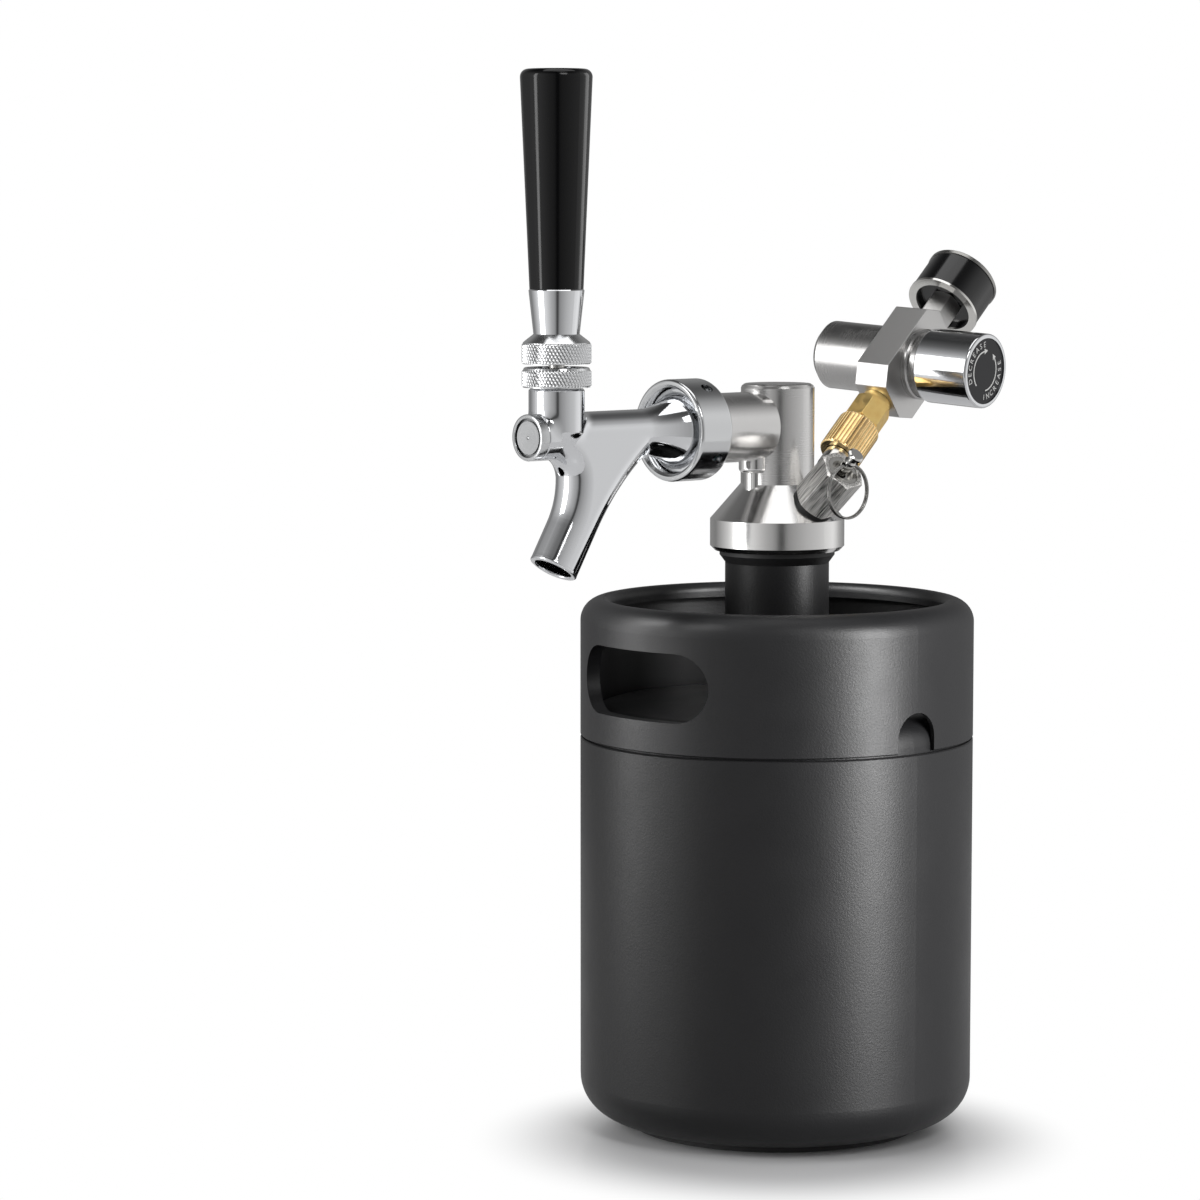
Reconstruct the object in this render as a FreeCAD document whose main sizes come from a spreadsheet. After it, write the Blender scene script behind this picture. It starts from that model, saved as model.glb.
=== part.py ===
import FreeCAD, Part
import math
import os
import re
import Sketcher

# Mini keg beer dispenser.  Millimetres.  The origin is on the keg's axis at floor level, +Z is up,
# the tap points towards -Y, the gas line leaves the cap at the back and the relief valve at +X.

doc = FreeCAD.newDocument("mini_keg_dispenser")
sheet = doc.addObject("Spreadsheet::Sheet", "Sizes")

# ---------------------------------------------------------------- driving dimensions

KEG = {
    "keg_radius": 67,
    "sheet_thickness": 1.6,
    "seam_height": 134,
    "seam_gap": 0.6,
    "seam_edge": 0.4,
    "base_corner_radius": 14,
    "foot_radius": 50,
    "foot_width": 7,
    "foot_height": 2.8,
    "dome_flange_depth": 6,
    "dome_shoulder_radius": 9,
    "dome_shoulder_start": 2,
    "dome_rise": 4,
    "rim_height": 181,
    "rim_outer_roll": 7.5,
    "rim_inner_roll": 3,
    "rim_turndown": 2,
    "slot_center_share": 0.4745,
    "slot_length": 60,
    "slot_height_share": 0.4894,
    "slot_lip_depth": 3.6,
    "slot_lip_thickness": 1.5,
    "notch_width": 17,
    "notch_height": 13.6,
    "neck_radius": 17.7,
    "neck_bore_radius": 13.5,
    "neck_thread_radius": 16.4,
    "neck_shoulder_height": 193.2,
    "neck_thread_length": 12.8,
}

CAP = {
    "gasket_height": 4.2,
    "gasket_radius": 19.6,
    "gasket_band": 1.5,
    "collar_radius": 22.85,
    "collar_height": 10.7,
    "collar_chamfer": 1.6,
    "cone_height": 12,
    "thread_clearance": 0.3,
    "cap_washer_thickness": 1.5,
    "column_radius": 12.5,
    "column_over_arm": 13.6,
    "column_edge_round": 0.8,
    "column_cap_radius": 11.7,
    "column_cap_proud": 0.6,
    "column_cap_depth": 0.8,
    "beer_bore_radius": 3,
    "dip_tube_radius": 4,
    "dip_tube_wall": 0.8,
    "dip_tube_bottom": 9,
    "dip_tube_socket": 9,
    "tube_clearance": 0.05,
    "arm_rise": 19.7,
    "arm_radius": 11.75,
    "arm_root": 9.9,
    "arm_length": 40.5,
    "arm_flange_radius": 13.4,
    "arm_flange_thickness": 2,
    "prop_distance": 10.4,
    "prop_angle": -90,
    "prop_head_radius": 5.6,
    "prop_foot_radius": 3.7,
    "prop_head_length": 15.7,
    "prop_edge_round": 1.6,
    "prop_socket_depth": 4,
    "shank_washer_thickness": 1.2,
    "shank_washer_radius": 12.4,
}

FAUCET = {
    "lever_reach": 99.3,
    "barrel_radius": 7.6,
    "barrel_front": 9.4,
    "bell_start": 35,
    "bell_mouth": 49.8,
    "bell_radius": 11.4,
    "tail_radius": 14.1,
    "tail_length": 4.8,
    "bell_bore_radius": 6.6,
    "valve_seat": 37,
    "chamber_radius": 4.9,
    "chamber_front": 13.5,
    "guide_radius": 4.4,
    "plug_head_length": 3.3,
    "plug_thread_radius": 5.4,
    "plug_thread_length": 3,
    "plug_dish_radius": 5.9,
    "plug_dish_depth": 0.5,
    "neck_post_radius": 9.1,
    "neck_post_height": 15.2,
    "neck_post_taper": 3,
    "neck_post_thread_radius": 8.3,
    "neck_post_thread_top": 18,
    "pivot_height": 14.5,
    "ball_radius": 6.6,
    "ball_clearance": 0.1,
    "spout_width": 16,
    "spout_thickness": 15,
    "spout_edge_round": 7.1,
    "spout_lean": 31,
    "spout_tip_y": -8.4,
    "spout_tip_z": -38.8,
    "spout_straight": 13.6,
    "spout_back_straight": 17.9,
    "spout_throat_radius": 25,
    "spout_crotch_radius": 7,
    "spout_root_z": -6.4,
    "spout_bore_radius": 6.3,
    "spout_bore_length": 48.2,
    "vent_radius": 1.4,
    "vent_drop": 11.5,
    "tilt_range": 26,
    "bonnet_bottom": 15.9,
    "bonnet_height": 6.5,
    "bonnet_radius": 11.4,
    "bonnet_chamfer": 1.3,
    "friction_washer_bore": 5.6,
    "friction_washer_thickness": 1.15,
    "bonnet_mouth_radius": 7.4,
    "nut_radius": 17,
    "nut_set_back": 4,
    "nut_length": 14,
    "nut_lip_length": 2,
    "nut_thread_radius": 14.4,
    "nut_edge_round": 1.1,
    "spanner_hole_radius": 2.1,
    "spanner_hole_place": 5,
    "spanner_hole_angle": 57,
}

LEVER = {
    "lever_neck_radius": 2.5,
    "lever_stem_radius": 4,
    "lever_stem_top": 45,
    "lever_tail_radius": 1.7,
    "lever_tip_radius": 2.2,
    "tip_clearance": 0.25,
    "collar_gap": 1.1,
    "collar_knurl_height": 6.8,
    "collar_cone_height": 2.8,
    "collar_cone_base": 10.95,
    "collar_hollow_depth": 3.7,
    "collar_wall": 1.6,
    "ferrule_bottom_radius": 7.5,
    "ferrule_top_radius": 9.05,
    "ferrule_height": 14.5,
    "handle_bottom_radius": 8.75,
    "handle_top_radius": 11.7,
    "handle_height": 70.5,
    "handle_edge_round": 2.6,
    "shaft_radius": 2.6,
    "shaft_collar_radius": 4.3,
    "shaft_collar_length": 11,
    "seat_washer_radius": 6,
    "seat_washer_thickness": 2.4,
    "shaft_nut_radius": 3.8,
    "shaft_nut_length": 3,
}

GAS = {
    "gas_azimuth": 96.5,
    "regulator_turn": 5,
    "port_seat_depth": 1,
    "port_washer_radius": 6.6,
    "port_washer_thickness": 1.6,
    "port_base_radius": 6.2,
    "port_base_length": 6.5,
    "port_neck_radius": 4.2,
    "port_thread_radius": 5,
    "port_thread_length": 12,
    "port_length": 26.4,
    "port_bore_radius": 1.6,
    "port_spigot_radius": 4,
    "port_spigot_length": 5,
    "gas_nut_radius": 7.75,
    "gas_nut_start": 21,
    "gas_nut_length": 15,
    "gas_nut_lip": 3,
    "gas_nut_edge_round": 1.2,
    "flute_count": 36,
    "flute_radius": 0.42,
    "running_gap": 0.3,
    "adapter_tail_radius": 4,
    "adapter_flange_radius": 4.8,
    "adapter_hex_flats": 12,
    "adapter_hex_length": 10.2,
    "adapter_collar_radius": 5.4,
    "adapter_collar_length": 2.3,
    "adapter_spigot_radius": 4.5,
    "adapter_spigot_length": 6,
    "hex_chamfer": 0.9,
}

REGULATOR = {
    "block_width": 25.5,
    "block_length": 40,
    "block_thickness": 13.1,
    "block_corner": 5.6,
    "block_edge_round": 0.9,
    "socket_radius": 12,
    "socket_length": 26,
    "socket_chamfer": 2.5,
    "socket_thread_radius": 4.6,
    "socket_thread_length": 10,
    "socket_relief_radius": 5.4,
    "socket_relief_length": 5.5,
    "socket_mouth_radius": 8.6,
    "socket_mouth_depth": 6,
    "pierce_seal_radius": 3.4,
    "pierce_seal_thickness": 1.6,
    "pin_radius": 1,
    "pin_clearance": 0.3,
    "pin_point_length": 2.2,
    "bonnet_ring_radius": 12.4,
    "bonnet_ring_length": 2.6,
    "bonnet_groove_radius": 11.2,
    "bonnet_groove_length": 2.9,
    "bonnet_tube_radius": 9.4,
    "bonnet_tube_bore": 7.4,
    "bonnet_tube_length": 22,
    "knob_radius": 13,
    "knob_length": 22,
    "knob_wall": 2.9,
    "knob_face_thickness": 3,
    "knob_edge_round": 0.8,
    "disc_radius": 11.5,
    "disc_recess": 0.9,
    "disc_proud": 0.2,
    "screw_radius": 3,
    "screw_pad_radius": 6.8,
    "screw_pad_thickness": 1.4,
    "screw_reach": 11.5,
    "spring_radius": 5.4,
    "spring_wire": 0.75,
    "spring_turns": 5,
    "piston_radius": 7.1,
    "piston_thickness": 2.2,
    "gauge_hex_flats": 11,
    "gauge_hex_length": 9.6,
    "gauge_spigot_radius": 4,
    "gauge_spigot_length": 5,
    "gauge_radius": 13.4,
    "gauge_case_radius": 13.1,
    "gauge_wall": 1.4,
    "gauge_place": 8.8,
    "back_ring_width": 2.9,
    "back_ring_thickness": 0.9,
    "gauge_recess": 2.4,
    "gauge_floor": 1.4,
    "gauge_depth": 16.2,
    "bezel_depth": 1.8,
    "bezel_lip": 1.7,
    "lens_thickness": 1,
    "dial_thickness": 0.6,
    "dial_gap": 4.4,
    "needle_length": 8.6,
    "needle_tail": 3,
    "needle_width": 1.1,
    "needle_thickness": 0.5,
    "needle_lift": 1.1,
    "needle_hub_radius": 1.6,
    "needle_rest_angle": -45,
}

RELIEF = {
    "relief_washer_radius": 7.3,
    "relief_washer_thickness": 1.9,
    "relief_flats": 14.2,
    "relief_turn": 10,
    "relief_hex_length": 17.6,
    "relief_spigot_radius": 4.3,
    "relief_spigot_length": 4.8,
    "relief_bore_radius": 1.8,
    "relief_chamber_radius": 5.2,
    "relief_chamber_start": 4,
    "relief_cap_radius": 5.8,
    "relief_cap_depth": 2.6,
    "relief_cap_dish": 4.1,
    "relief_dish_depth": 1.9,
    "relief_cap_bore": 2.1,
    "relief_pin_radius": 1.6,
    "relief_seat_radius": 4,
    "relief_seat_thickness": 1.2,
    "relief_poppet_thickness": 1.4,
    "relief_eye_distance": 2.9,
    "relief_eye_radius": 1.15,
    "relief_eye_boss": 2.1,
    "relief_head_radius": 2.8,
    "relief_head_distance": 6.6,
    "relief_head_length": 1.8,
    "relief_travel": 3,
    "relief_spring_radius": 3.9,
    "relief_spring_wire": 0.5,
    "relief_spring_turns": 5,
    "ring_radius": 9,
    "ring_wire": 0.7,
}

names = {}
for group in (KEG, CAP, FAUCET, LEVER, GAS, REGULATOR, RELIEF):
    names.update(group)
for row, (alias, value) in enumerate(names.items(), start=1):
    sheet.set(f"A{row}", alias)
    sheet.set(f"B{row}", str(value))
    sheet.setAlias(f"B{row}", alias)
doc.recompute()


# ---------------------------------------------------------------- small modelling vocabulary

def formula(text):
    """The expression with every size's name pointed at its cell in the sheet."""
    return re.sub(r"[a-z][a-z0-9_]*", lambda m: f"Sizes.{m[0]}" if m[0] in names else m[0], str(text))


def value(text):
    """The number that an expression of sizes comes to."""
    result = sheet.evalExpression(formula(text))
    return float(getattr(result, "Value", result))


def bind(feature, **properties):
    """Bind properties of a feature to expressions of sizes (Length="rim_height - seam_height")."""
    for name, text in properties.items():
        feature.setExpression(name.replace("__", "."), formula(text))


def origin_plane(body, role):
    return next(item for item in body.Origin.OriginFeatures if item.Role == role)


def new_body(label, frame=None):
    """An empty body whose own axes lie on a frame of the assembly."""
    body = doc.addObject("PartDesign::Body", label)
    body.Label = label
    body.Placement = frame or FreeCAD.Placement()
    return body


def new_sketch(body, name, role="XZ_Plane", lift="0"):
    """A sketch on one of the body's own planes, lifted off it along the plane's normal."""
    sketch = body.newObject("Sketcher::SketchObject", f"{body.Label}_{name}")
    sketch.AttachmentSupport = [(origin_plane(body, role), "")]
    sketch.MapMode = "FlatFace"
    if lift != "0":
        sketch.setExpression("AttachmentOffset.Base.z", formula(lift))
    return sketch


def arc_between(start, end, radius, side):
    """The arc from start to end whose centre is left (+1) or right (-1) of the way along."""
    chord = end - start
    half = chord.Length / 2
    across = FreeCAD.Vector(-chord.y, chord.x, 0).normalize() * side
    center = (start + end) * 0.5 + across * math.sqrt(max(radius * radius - half * half, 0))
    first, last = (start, end) if side > 0 else (end, start)
    angle = [math.atan2(point.y - center.y, point.x - center.x) for point in (first, last)]
    circle = Part.Circle(center, FreeCAD.Vector(0, 0, 1), radius)
    return Part.ArcOfCircle(circle, angle[0], angle[1] + (2 * math.pi if angle[1] < angle[0] else 0))


def draw(sketch, corners):
    """Draw a closed outline whose corners are bound to expressions.

    A corner is (x, y), or (x, y, radius, side) where the stretch that reaches it is an arc."""
    points = [FreeCAD.Vector(value(corner[0]), value(corner[1]), 0) for corner in corners]
    first = sketch.GeometryCount
    ends = []
    for number, corner in enumerate(corners):
        start, end = points[number - 1], points[number]
        if len(corner) == 4:
            curve = arc_between(start, end, value(corner[2]), corner[3])
            ends.append((1, 2) if corner[3] > 0 else (2, 1))
        else:
            curve = Part.LineSegment(start, end)
            ends.append((1, 2))
        sketch.addGeometry(curve, False)
    for number, corner in enumerate(corners):
        this, following = first + number, first + (number + 1) % len(corners)
        end, start = ends[number][1], ends[(number + 1) % len(corners)][0]
        sketch.addConstraint(Sketcher.Constraint("Coincident", this, end, following, start))
        place(sketch, this, end, corner)
        if len(corner) == 4 and value(corner[2]) > (points[number] - points[number - 1]).Length / 2 + 0.001:
            tie(sketch, "Radius", corner[2], this)
        elif len(corner) == 4:
            # A half circle is held by its centre, halfway between its ends.
            before = corners[number - 1]
            upright = before[0] == corner[0]
            middle = before[0] if upright else f"(({before[0]}) + ({corner[0]})) / 2"
            level = f"(({before[1]}) + ({corner[1]})) / 2" if upright else before[1]
            place(sketch, this, 3, (middle, level), "X" if upright else "Y")


def tie(sketch, kind, text, *places):
    """Add one dimension to a sketch and bind it to an expression."""
    index = sketch.addConstraint(Sketcher.Constraint(kind, *places, value(text)))
    sketch.setExpression(f"Constraints[{index}]", formula(text))


def place(sketch, item, point, at, directions="XY"):
    """Hold a point of the sketch at a place given by expressions, along X, Y or both."""
    for direction, axis, text in (("X", -2, at[0]), ("Y", -1, at[1])):
        if direction in directions and text == "0":
            sketch.addConstraint(Sketcher.Constraint("PointOnObject", item, point, axis))
        elif direction in directions:
            tie(sketch, f"Distance{direction}", text, -1, 1, item, point)


def circle(sketch, x, y, radius):
    """Draw a circle with its centre and radius bound to expressions."""
    center = FreeCAD.Vector(value(x), value(y), 0)
    index = sketch.addGeometry(Part.Circle(center, FreeCAD.Vector(0, 0, 1), value(radius)), False)
    place(sketch, index, 3, (x, y))
    tie(sketch, "Radius", radius, index)


def spin(body, name, corners, kind="Revolution", axis="V_Axis", role="XZ_Plane"):
    """Turn an outline round an axis of its sketch: a Revolution adds and a Groove cuts."""
    sketch = new_sketch(body, name, role)
    draw(sketch, corners)
    feature = body.newObject(f"PartDesign::{kind}", f"{body.Label}_{name}_turned")
    feature.Profile = sketch
    feature.ReferenceAxis = (sketch, [axis])
    feature.Angle = 360
    sketch.Visibility = False
    return feature


def turned(label, corners, frame=None):
    """A lathe-turned piece: the outline is (radius, height) round the body's Z axis."""
    body = new_body(label, frame)
    spin(body, "outline", corners)
    return body


def solid(body, kind, name, place=(0, 0, 0), rotation=None, **properties):
    """Add or cut a primitive, such as SubtractiveCylinder, at a place given by expressions."""
    feature = body.newObject(f"PartDesign::{kind}", f"{body.Label}_{name}")
    feature.Placement = FreeCAD.Placement(FreeCAD.Vector(), rotation or FreeCAD.Rotation())
    for axis, text in zip("xyz", place):
        feature.setExpression(f"Placement.Base.{axis}", formula(text))
    bind(feature, **properties)
    return feature


def hexagon(body, name, flats, start, length, turn="0", chamfer=("hex_chamfer", "hex_chamfer")):
    """A hexagonal bar along Z with its two ends turned off to a cone, as on a nut."""
    bar = solid(body, "AdditivePrism", name, (0, 0, start), Height=length)
    bar.Polygon = 6
    bind(bar, Circumradius=f"{flats} / sqrt(3)", Placement__Rotation__Angle=turn)
    bar.Placement.Rotation.Axis = FreeCAD.Vector(0, 0, 1)
    reach = f"{flats} / sqrt(3)"
    for end, edge, inward in ((0, start, 1), (1, f"{start} + {length}", -1)):
        if chamfer[end]:
            inner = f"{edge} + {inward} * {chamfer[end]} * 0.6"
            spin(body, f"{name}_chamfer_{end}", [
                (f"{reach} - {chamfer[end]}", edge),
                (f"{reach} + 1", edge),
                (f"{reach} + 1", f"{edge} + {inward} * {chamfer[end]} * 0.6 * (1 + 1 / {chamfer[end]})"),
                (reach, inner),
            ], "Groove")
    return bar


def frame_at(origin, z_axis, x_axis):
    """The placement whose Z and X axes point the given ways."""
    return FreeCAD.Placement(origin, FreeCAD.Rotation(x_axis, FreeCAD.Vector(), z_axis, "ZXY"))


def ring(label, inner, outer, start, length, frame=None):
    """A plain ring or washer."""
    return turned(label, [(inner, start), (outer, start), (outer, f"{start} + {length}"),
                          (inner, f"{start} + {length}")], frame)


def coil(label, radius, wire, turns, start, height, frame=None):
    """A wire spring wound round Z from start to start + height."""
    body = new_body(label, frame)
    sketch = new_sketch(body, "wire")
    circle(sketch, radius, f"{start} + {wire}", wire)
    feature = body.newObject("PartDesign::AdditiveHelix", f"{label}_wound")
    feature.Profile = sketch
    feature.ReferenceAxis = (sketch, ["V_Axis"])
    feature.Mode = 0
    bind(feature, Pitch=f"({height} - 2 * {wire}) / {turns}", Height=f"{height} - 2 * {wire}")
    return body


# ---------------------------------------------------------------- where the branches stand

half_cone = value("(collar_radius + column_radius) / 2")
cap_bottom = "neck_shoulder_height + gasket_height"
collar_top = f"{cap_bottom} + collar_height"
cone_top = f"{collar_top} + cone_height"
arm_height = f"({cone_top} + arm_rise)"
port_tilt = math.degrees(math.atan2(value("collar_radius - column_radius"), value("cone_height")))


def branch_frame(azimuth):
    """A frame standing square on the middle of the cap's cone, Z outwards."""
    turn, tilt = math.radians(azimuth), math.radians(port_tilt)
    out = FreeCAD.Vector(math.cos(turn), math.sin(turn), 0)
    origin = out * half_cone + FreeCAD.Vector(0, 0, value(f"{collar_top} + cone_height / 2"))
    side = FreeCAD.Vector(math.sin(turn), -math.cos(turn), 0)
    return frame_at(origin, out * math.cos(tilt) + FreeCAD.Vector(0, 0, math.sin(tilt)), side)


up = FreeCAD.Vector(0, 0, 1)
forward = FreeCAD.Vector(0, -1, 0)
across = FreeCAD.Vector(1, 0, 0)
arm_frame = frame_at(up * value(arm_height), forward, across)
faucet_frame = FreeCAD.Placement(up * value(arm_height) + forward * value("lever_reach"), FreeCAD.Rotation())
barrel_frame = frame_at(faucet_frame.Base, -forward, across)
lever_frame = FreeCAD.Placement(faucet_frame.Base + up * value("pivot_height"), FreeCAD.Rotation())
gas_frame = branch_frame(value("gas_azimuth"))
relief_frame = branch_frame(0)

adapter_end = "gas_nut_start + gas_nut_length + running_gap + adapter_hex_length + adapter_collar_length"
gas_axis = gas_frame.Rotation.multVec(up)
regulator_rotation = FreeCAD.Rotation(gas_axis, value("regulator_turn")).multiply(gas_frame.Rotation)
knob_axis = regulator_rotation.multVec(across)
block_center = gas_frame.Base + gas_axis * value(f"{adapter_end} + block_length / 2")
regulator_frame = frame_at(block_center, knob_axis, gas_axis)
gauge_frame = FreeCAD.Placement(block_center + gas_axis * value("block_length / 2"), regulator_rotation)


# ---------------------------------------------------------------- keg

base = "foot_height"
corner = "base_corner_radius"
inner_corner = "base_corner_radius - sheet_thickness"
keg_inner = "keg_radius - sheet_thickness"
shell_top = "seam_height - seam_gap / 2"

# Deep-drawn steel shell: flat floor, rounded base corner and straight side.
turned("keg_shell", [
    ("0", base),
    (f"keg_radius - {corner}", base),
    ("keg_radius", f"{base} + {corner}", corner, 1),
    ("keg_radius", f"{shell_top} - seam_edge"),
    ("keg_radius - seam_edge", shell_top),
    (keg_inner, shell_top),
    (keg_inner, f"{base} + {corner}"),
    (f"keg_radius - {corner}", f"{base} + sheet_thickness", inner_corner, -1),
    ("0", f"{base} + sheet_thickness"),
])

# Rubber foot ring under the rounded corner.
ring("foot_ring", "foot_radius - foot_width", "foot_radius", "0", "foot_height")

# Top head of the pressure vessel, with a flange inside the shell and a rounded shoulder.
shoulder = "dome_shoulder_radius"
shoulder_start = "seam_height + dome_shoulder_start"
shoulder_top = f"{shoulder_start} + {shoulder}"
dome_edge = f"{keg_inner} - {shoulder}"
flange_inner = f"{keg_inner} - sheet_thickness"
turned("keg_dome", [
    ("neck_radius", f"{shoulder_top} + dome_rise"),
    ("neck_radius", f"{shoulder_top} + dome_rise - sheet_thickness"),
    (dome_edge, f"{shoulder_top} - sheet_thickness"),
    (flange_inner, shoulder_start, f"{shoulder} - sheet_thickness", -1),
    (flange_inner, "seam_height - dome_flange_depth"),
    (keg_inner, "seam_height - dome_flange_depth"),
    (keg_inner, shoulder_start),
    (dome_edge, shoulder_top, shoulder, 1),
])

# Neck tube welded through the dome, with a reduced threaded end inside the cap.
neck_top = "neck_shoulder_height + neck_thread_length"
turned("keg_neck", [
    ("neck_bore_radius", f"{shoulder_top} - sheet_thickness"),
    ("neck_radius", f"{shoulder_top} - sheet_thickness"),
    ("neck_radius", "neck_shoulder_height"),
    ("neck_thread_radius", "neck_shoulder_height"),
    ("neck_thread_radius", neck_top),
    ("neck_bore_radius", neck_top),
])

# Handling skirt round the neck: rolled-in rim, two hand slots with in-turned lips and a drain
# notch through which the dome's shoulder shows.
rim_inner = "keg_radius - rim_outer_roll - rim_inner_roll"
skirt_wall = turned("skirt_wall", [
    ("keg_radius - seam_edge", "seam_height + seam_gap / 2"),
    ("keg_radius", "seam_height + seam_gap / 2 + seam_edge"),
    ("keg_radius", "rim_height - rim_outer_roll"),
    ("keg_radius - rim_outer_roll", "rim_height", "rim_outer_roll", 1),
    (rim_inner, "rim_height - rim_inner_roll", "rim_inner_roll", 1),
    (rim_inner, "rim_height - rim_inner_roll - rim_turndown"),
    (f"{rim_inner} + sheet_thickness", "rim_height - rim_inner_roll - rim_turndown"),
    (f"{rim_inner} + sheet_thickness", "rim_height - rim_inner_roll"),
    ("keg_radius - rim_outer_roll", "rim_height - sheet_thickness", "rim_inner_roll - sheet_thickness", -1),
    (keg_inner, "rim_height - rim_outer_roll", "rim_outer_roll - sheet_thickness", -1),
    (keg_inner, "seam_height + seam_gap / 2"),
])


skirt_height = "(rim_height - seam_height)"
slot_height = f"{skirt_height} * slot_height_share"
slot_center = f"(seam_height + {skirt_height} * slot_center_share)"


def slot_bar(label, growth):
    """A bar with the hand slot's rounded section, right through the keg along Y."""
    body = new_body(label)
    sketch = new_sketch(body, "section")
    flat = f"(slot_length - {slot_height}) / 2"
    radius = f"({slot_height} / 2 + {growth})"
    top, bottom = f"{slot_center} + {radius}", f"{slot_center} - {radius}"
    draw(sketch, [(f"-({flat})", bottom, radius, 1), (flat, bottom),
                  (flat, top, radius, 1), (f"-({flat})", top)])
    pad = body.newObject("PartDesign::Pad", f"{label}_pad")
    pad.Profile = sketch
    pad.Midplane = True
    bind(pad, Length="2 * keg_radius + 2")
    return body


def boolean(kind, label, shapes):
    """A boolean of Part shapes, kept as one object of the document."""
    feature = doc.addObject(f"Part::{kind}", label)
    if kind == "Cut":
        feature.Base, feature.Tool = shapes
    else:
        feature.Shapes = shapes
    return feature


slot_outer = slot_bar("slot_lip_bar", "slot_lip_thickness")
slot_inner = slot_bar("slot_bar", "0")
lip_depth_band = ring("slot_lip_band", f"{keg_inner} - slot_lip_depth", f"{keg_inner} + sheet_thickness / 2",
                      "seam_height + seam_gap", "rim_height - rim_outer_roll - seam_height")
lips = boolean("MultiCommon", "slot_lips", [slot_outer, lip_depth_band])
notch_bar = new_body("notch_bar")
notch_sketch = new_sketch(notch_bar, "section", "YZ_Plane")
notch_spring = "seam_height + notch_height - notch_width / 2"
draw(notch_sketch, [("-notch_width / 2", "seam_height - 1"), ("notch_width / 2", "seam_height - 1"),
                    ("notch_width / 2", notch_spring),
                    ("-notch_width / 2", notch_spring, "notch_width / 2", 1)])
notch_pad = notch_bar.newObject("PartDesign::Pad", "notch_bar_pad")
notch_pad.Profile = notch_sketch
bind(notch_pad, Length="keg_radius + 1")
skirt_blank = boolean("MultiFuse", "skirt_with_lips", [skirt_wall, lips])
skirt_cutters = boolean("MultiFuse", "skirt_cutters", [slot_inner, notch_bar])
top_skirt = boolean("Cut", "top_skirt", [skirt_blank, skirt_cutters])


# ---------------------------------------------------------------- cap, column and beer arm

# Tapered rubber gasket squeezed between the neck's shoulder and the cap.
turned("cap_gasket", [
    ("neck_thread_radius + thread_clearance", "neck_shoulder_height"),
    ("neck_radius - 0.1", "neck_shoulder_height"),
    ("gasket_radius", f"{cap_bottom} - gasket_band"),
    ("gasket_radius", cap_bottom),
    ("neck_thread_radius + thread_clearance", cap_bottom),
])

# Cap: straight collar, cone, threaded socket for the neck and the drilled ports.
socket_radius = "neck_thread_radius + thread_clearance"
ceiling = f"{neck_top} + cap_washer_thickness"
cap = turned("cap_body", [
    ("0", ceiling),
    (socket_radius, ceiling),
    (socket_radius, cap_bottom),
    ("collar_radius - collar_chamfer", cap_bottom),
    ("collar_radius", f"{cap_bottom} + collar_chamfer"),
    ("collar_radius", collar_top),
    ("column_radius", cone_top),
    ("0", cone_top),
])
tube_hole = "dip_tube_radius + tube_clearance"
tube_top = f"{cone_top} - 1"
solid(cap, "SubtractiveCylinder", "tube_hole", (0, 0, f"{ceiling} - 1"), Radius=tube_hole,
      Height=f"{tube_top} - {ceiling} + 1")
solid(cap, "SubtractiveCylinder", "beer_hole", (0, 0, f"{tube_top} - 1"), Radius="beer_bore_radius", Height="3")
prop_x = "prop_distance * cos(prop_angle)"
prop_y = "prop_distance * sin(prop_angle)"
prop_bottom = f"{cone_top} - prop_socket_depth - 2.4"
solid(cap, "SubtractiveCylinder", "prop_hole", (prop_x, prop_y, prop_bottom), Radius="prop_foot_radius",
      Height=f"{arm_height} - ({prop_bottom})")


def port(body, name, frame, steps):
    """A stepped hole square to the cone: each step is (radius, depth)."""
    for number, (radius, depth) in enumerate(steps, start=1):
        cutter = body.newObject("PartDesign::SubtractiveCylinder", f"{body.Label}_{name}_step_{number}")
        cutter.Placement = FreeCAD.Placement(frame.multVec(up * -value(depth)), frame.Rotation)
        bind(cutter, Radius=radius, Height=f"{depth} + port_seat_depth + 1")


through = "(cone_height / 2 + collar_height) * 1.2"
port(cap, "gas_port", gas_frame, [("port_washer_radius + 0.2", "port_seat_depth"),
                                  ("port_spigot_radius", "port_spigot_length"),
                                  ("port_bore_radius", through)])
port(cap, "relief_port", relief_frame, [("relief_washer_radius + 0.2", "port_seat_depth"),
                                        ("relief_spigot_radius", "relief_spigot_length"),
                                        ("relief_bore_radius", through)])

# Silicone washer inside the cap, on the neck's end.
ring("cap_washer", "neck_bore_radius", "neck_thread_radius", neck_top, "cap_washer_thickness")

# Dip tube from the cap to just above the keg's floor.
ring("dip_tube", "dip_tube_radius - dip_tube_wall", "dip_tube_radius", "dip_tube_bottom",
     f"{tube_top} - dip_tube_bottom")

# Column with a counterbored top, drilled up from below and across to the arm.
column_top = f"{arm_height} + column_over_arm"
column = turned("column", [
    ("beer_bore_radius", cone_top),
    ("column_radius", cone_top),
    ("column_radius", f"{column_top} - column_edge_round"),
    ("column_radius - column_edge_round / 2", column_top),
    ("column_cap_radius + 0.1", column_top),
    ("column_cap_radius + 0.1", f"{column_top} - column_cap_depth"),
    ("0", f"{column_top} - column_cap_depth"),
    ("0", arm_height),
    ("beer_bore_radius", arm_height),
])
to_arm = FreeCAD.Rotation(across, 90)
solid(column, "SubtractiveCylinder", "cross_bore", (0, 0, arm_height), to_arm, Radius="beer_bore_radius",
      Height="column_radius + 1")

# Plug disc closing the column.
turned("column_cap", [
    ("0", f"{column_top} - column_cap_depth"),
    ("column_cap_radius", f"{column_top} - column_cap_depth"),
    ("column_cap_radius", f"{column_top} + column_cap_proud / 2"),
    ("column_cap_radius - column_cap_proud", f"{column_top} + column_cap_proud"),
    ("0", f"{column_top} + column_cap_proud"),
])

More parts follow.
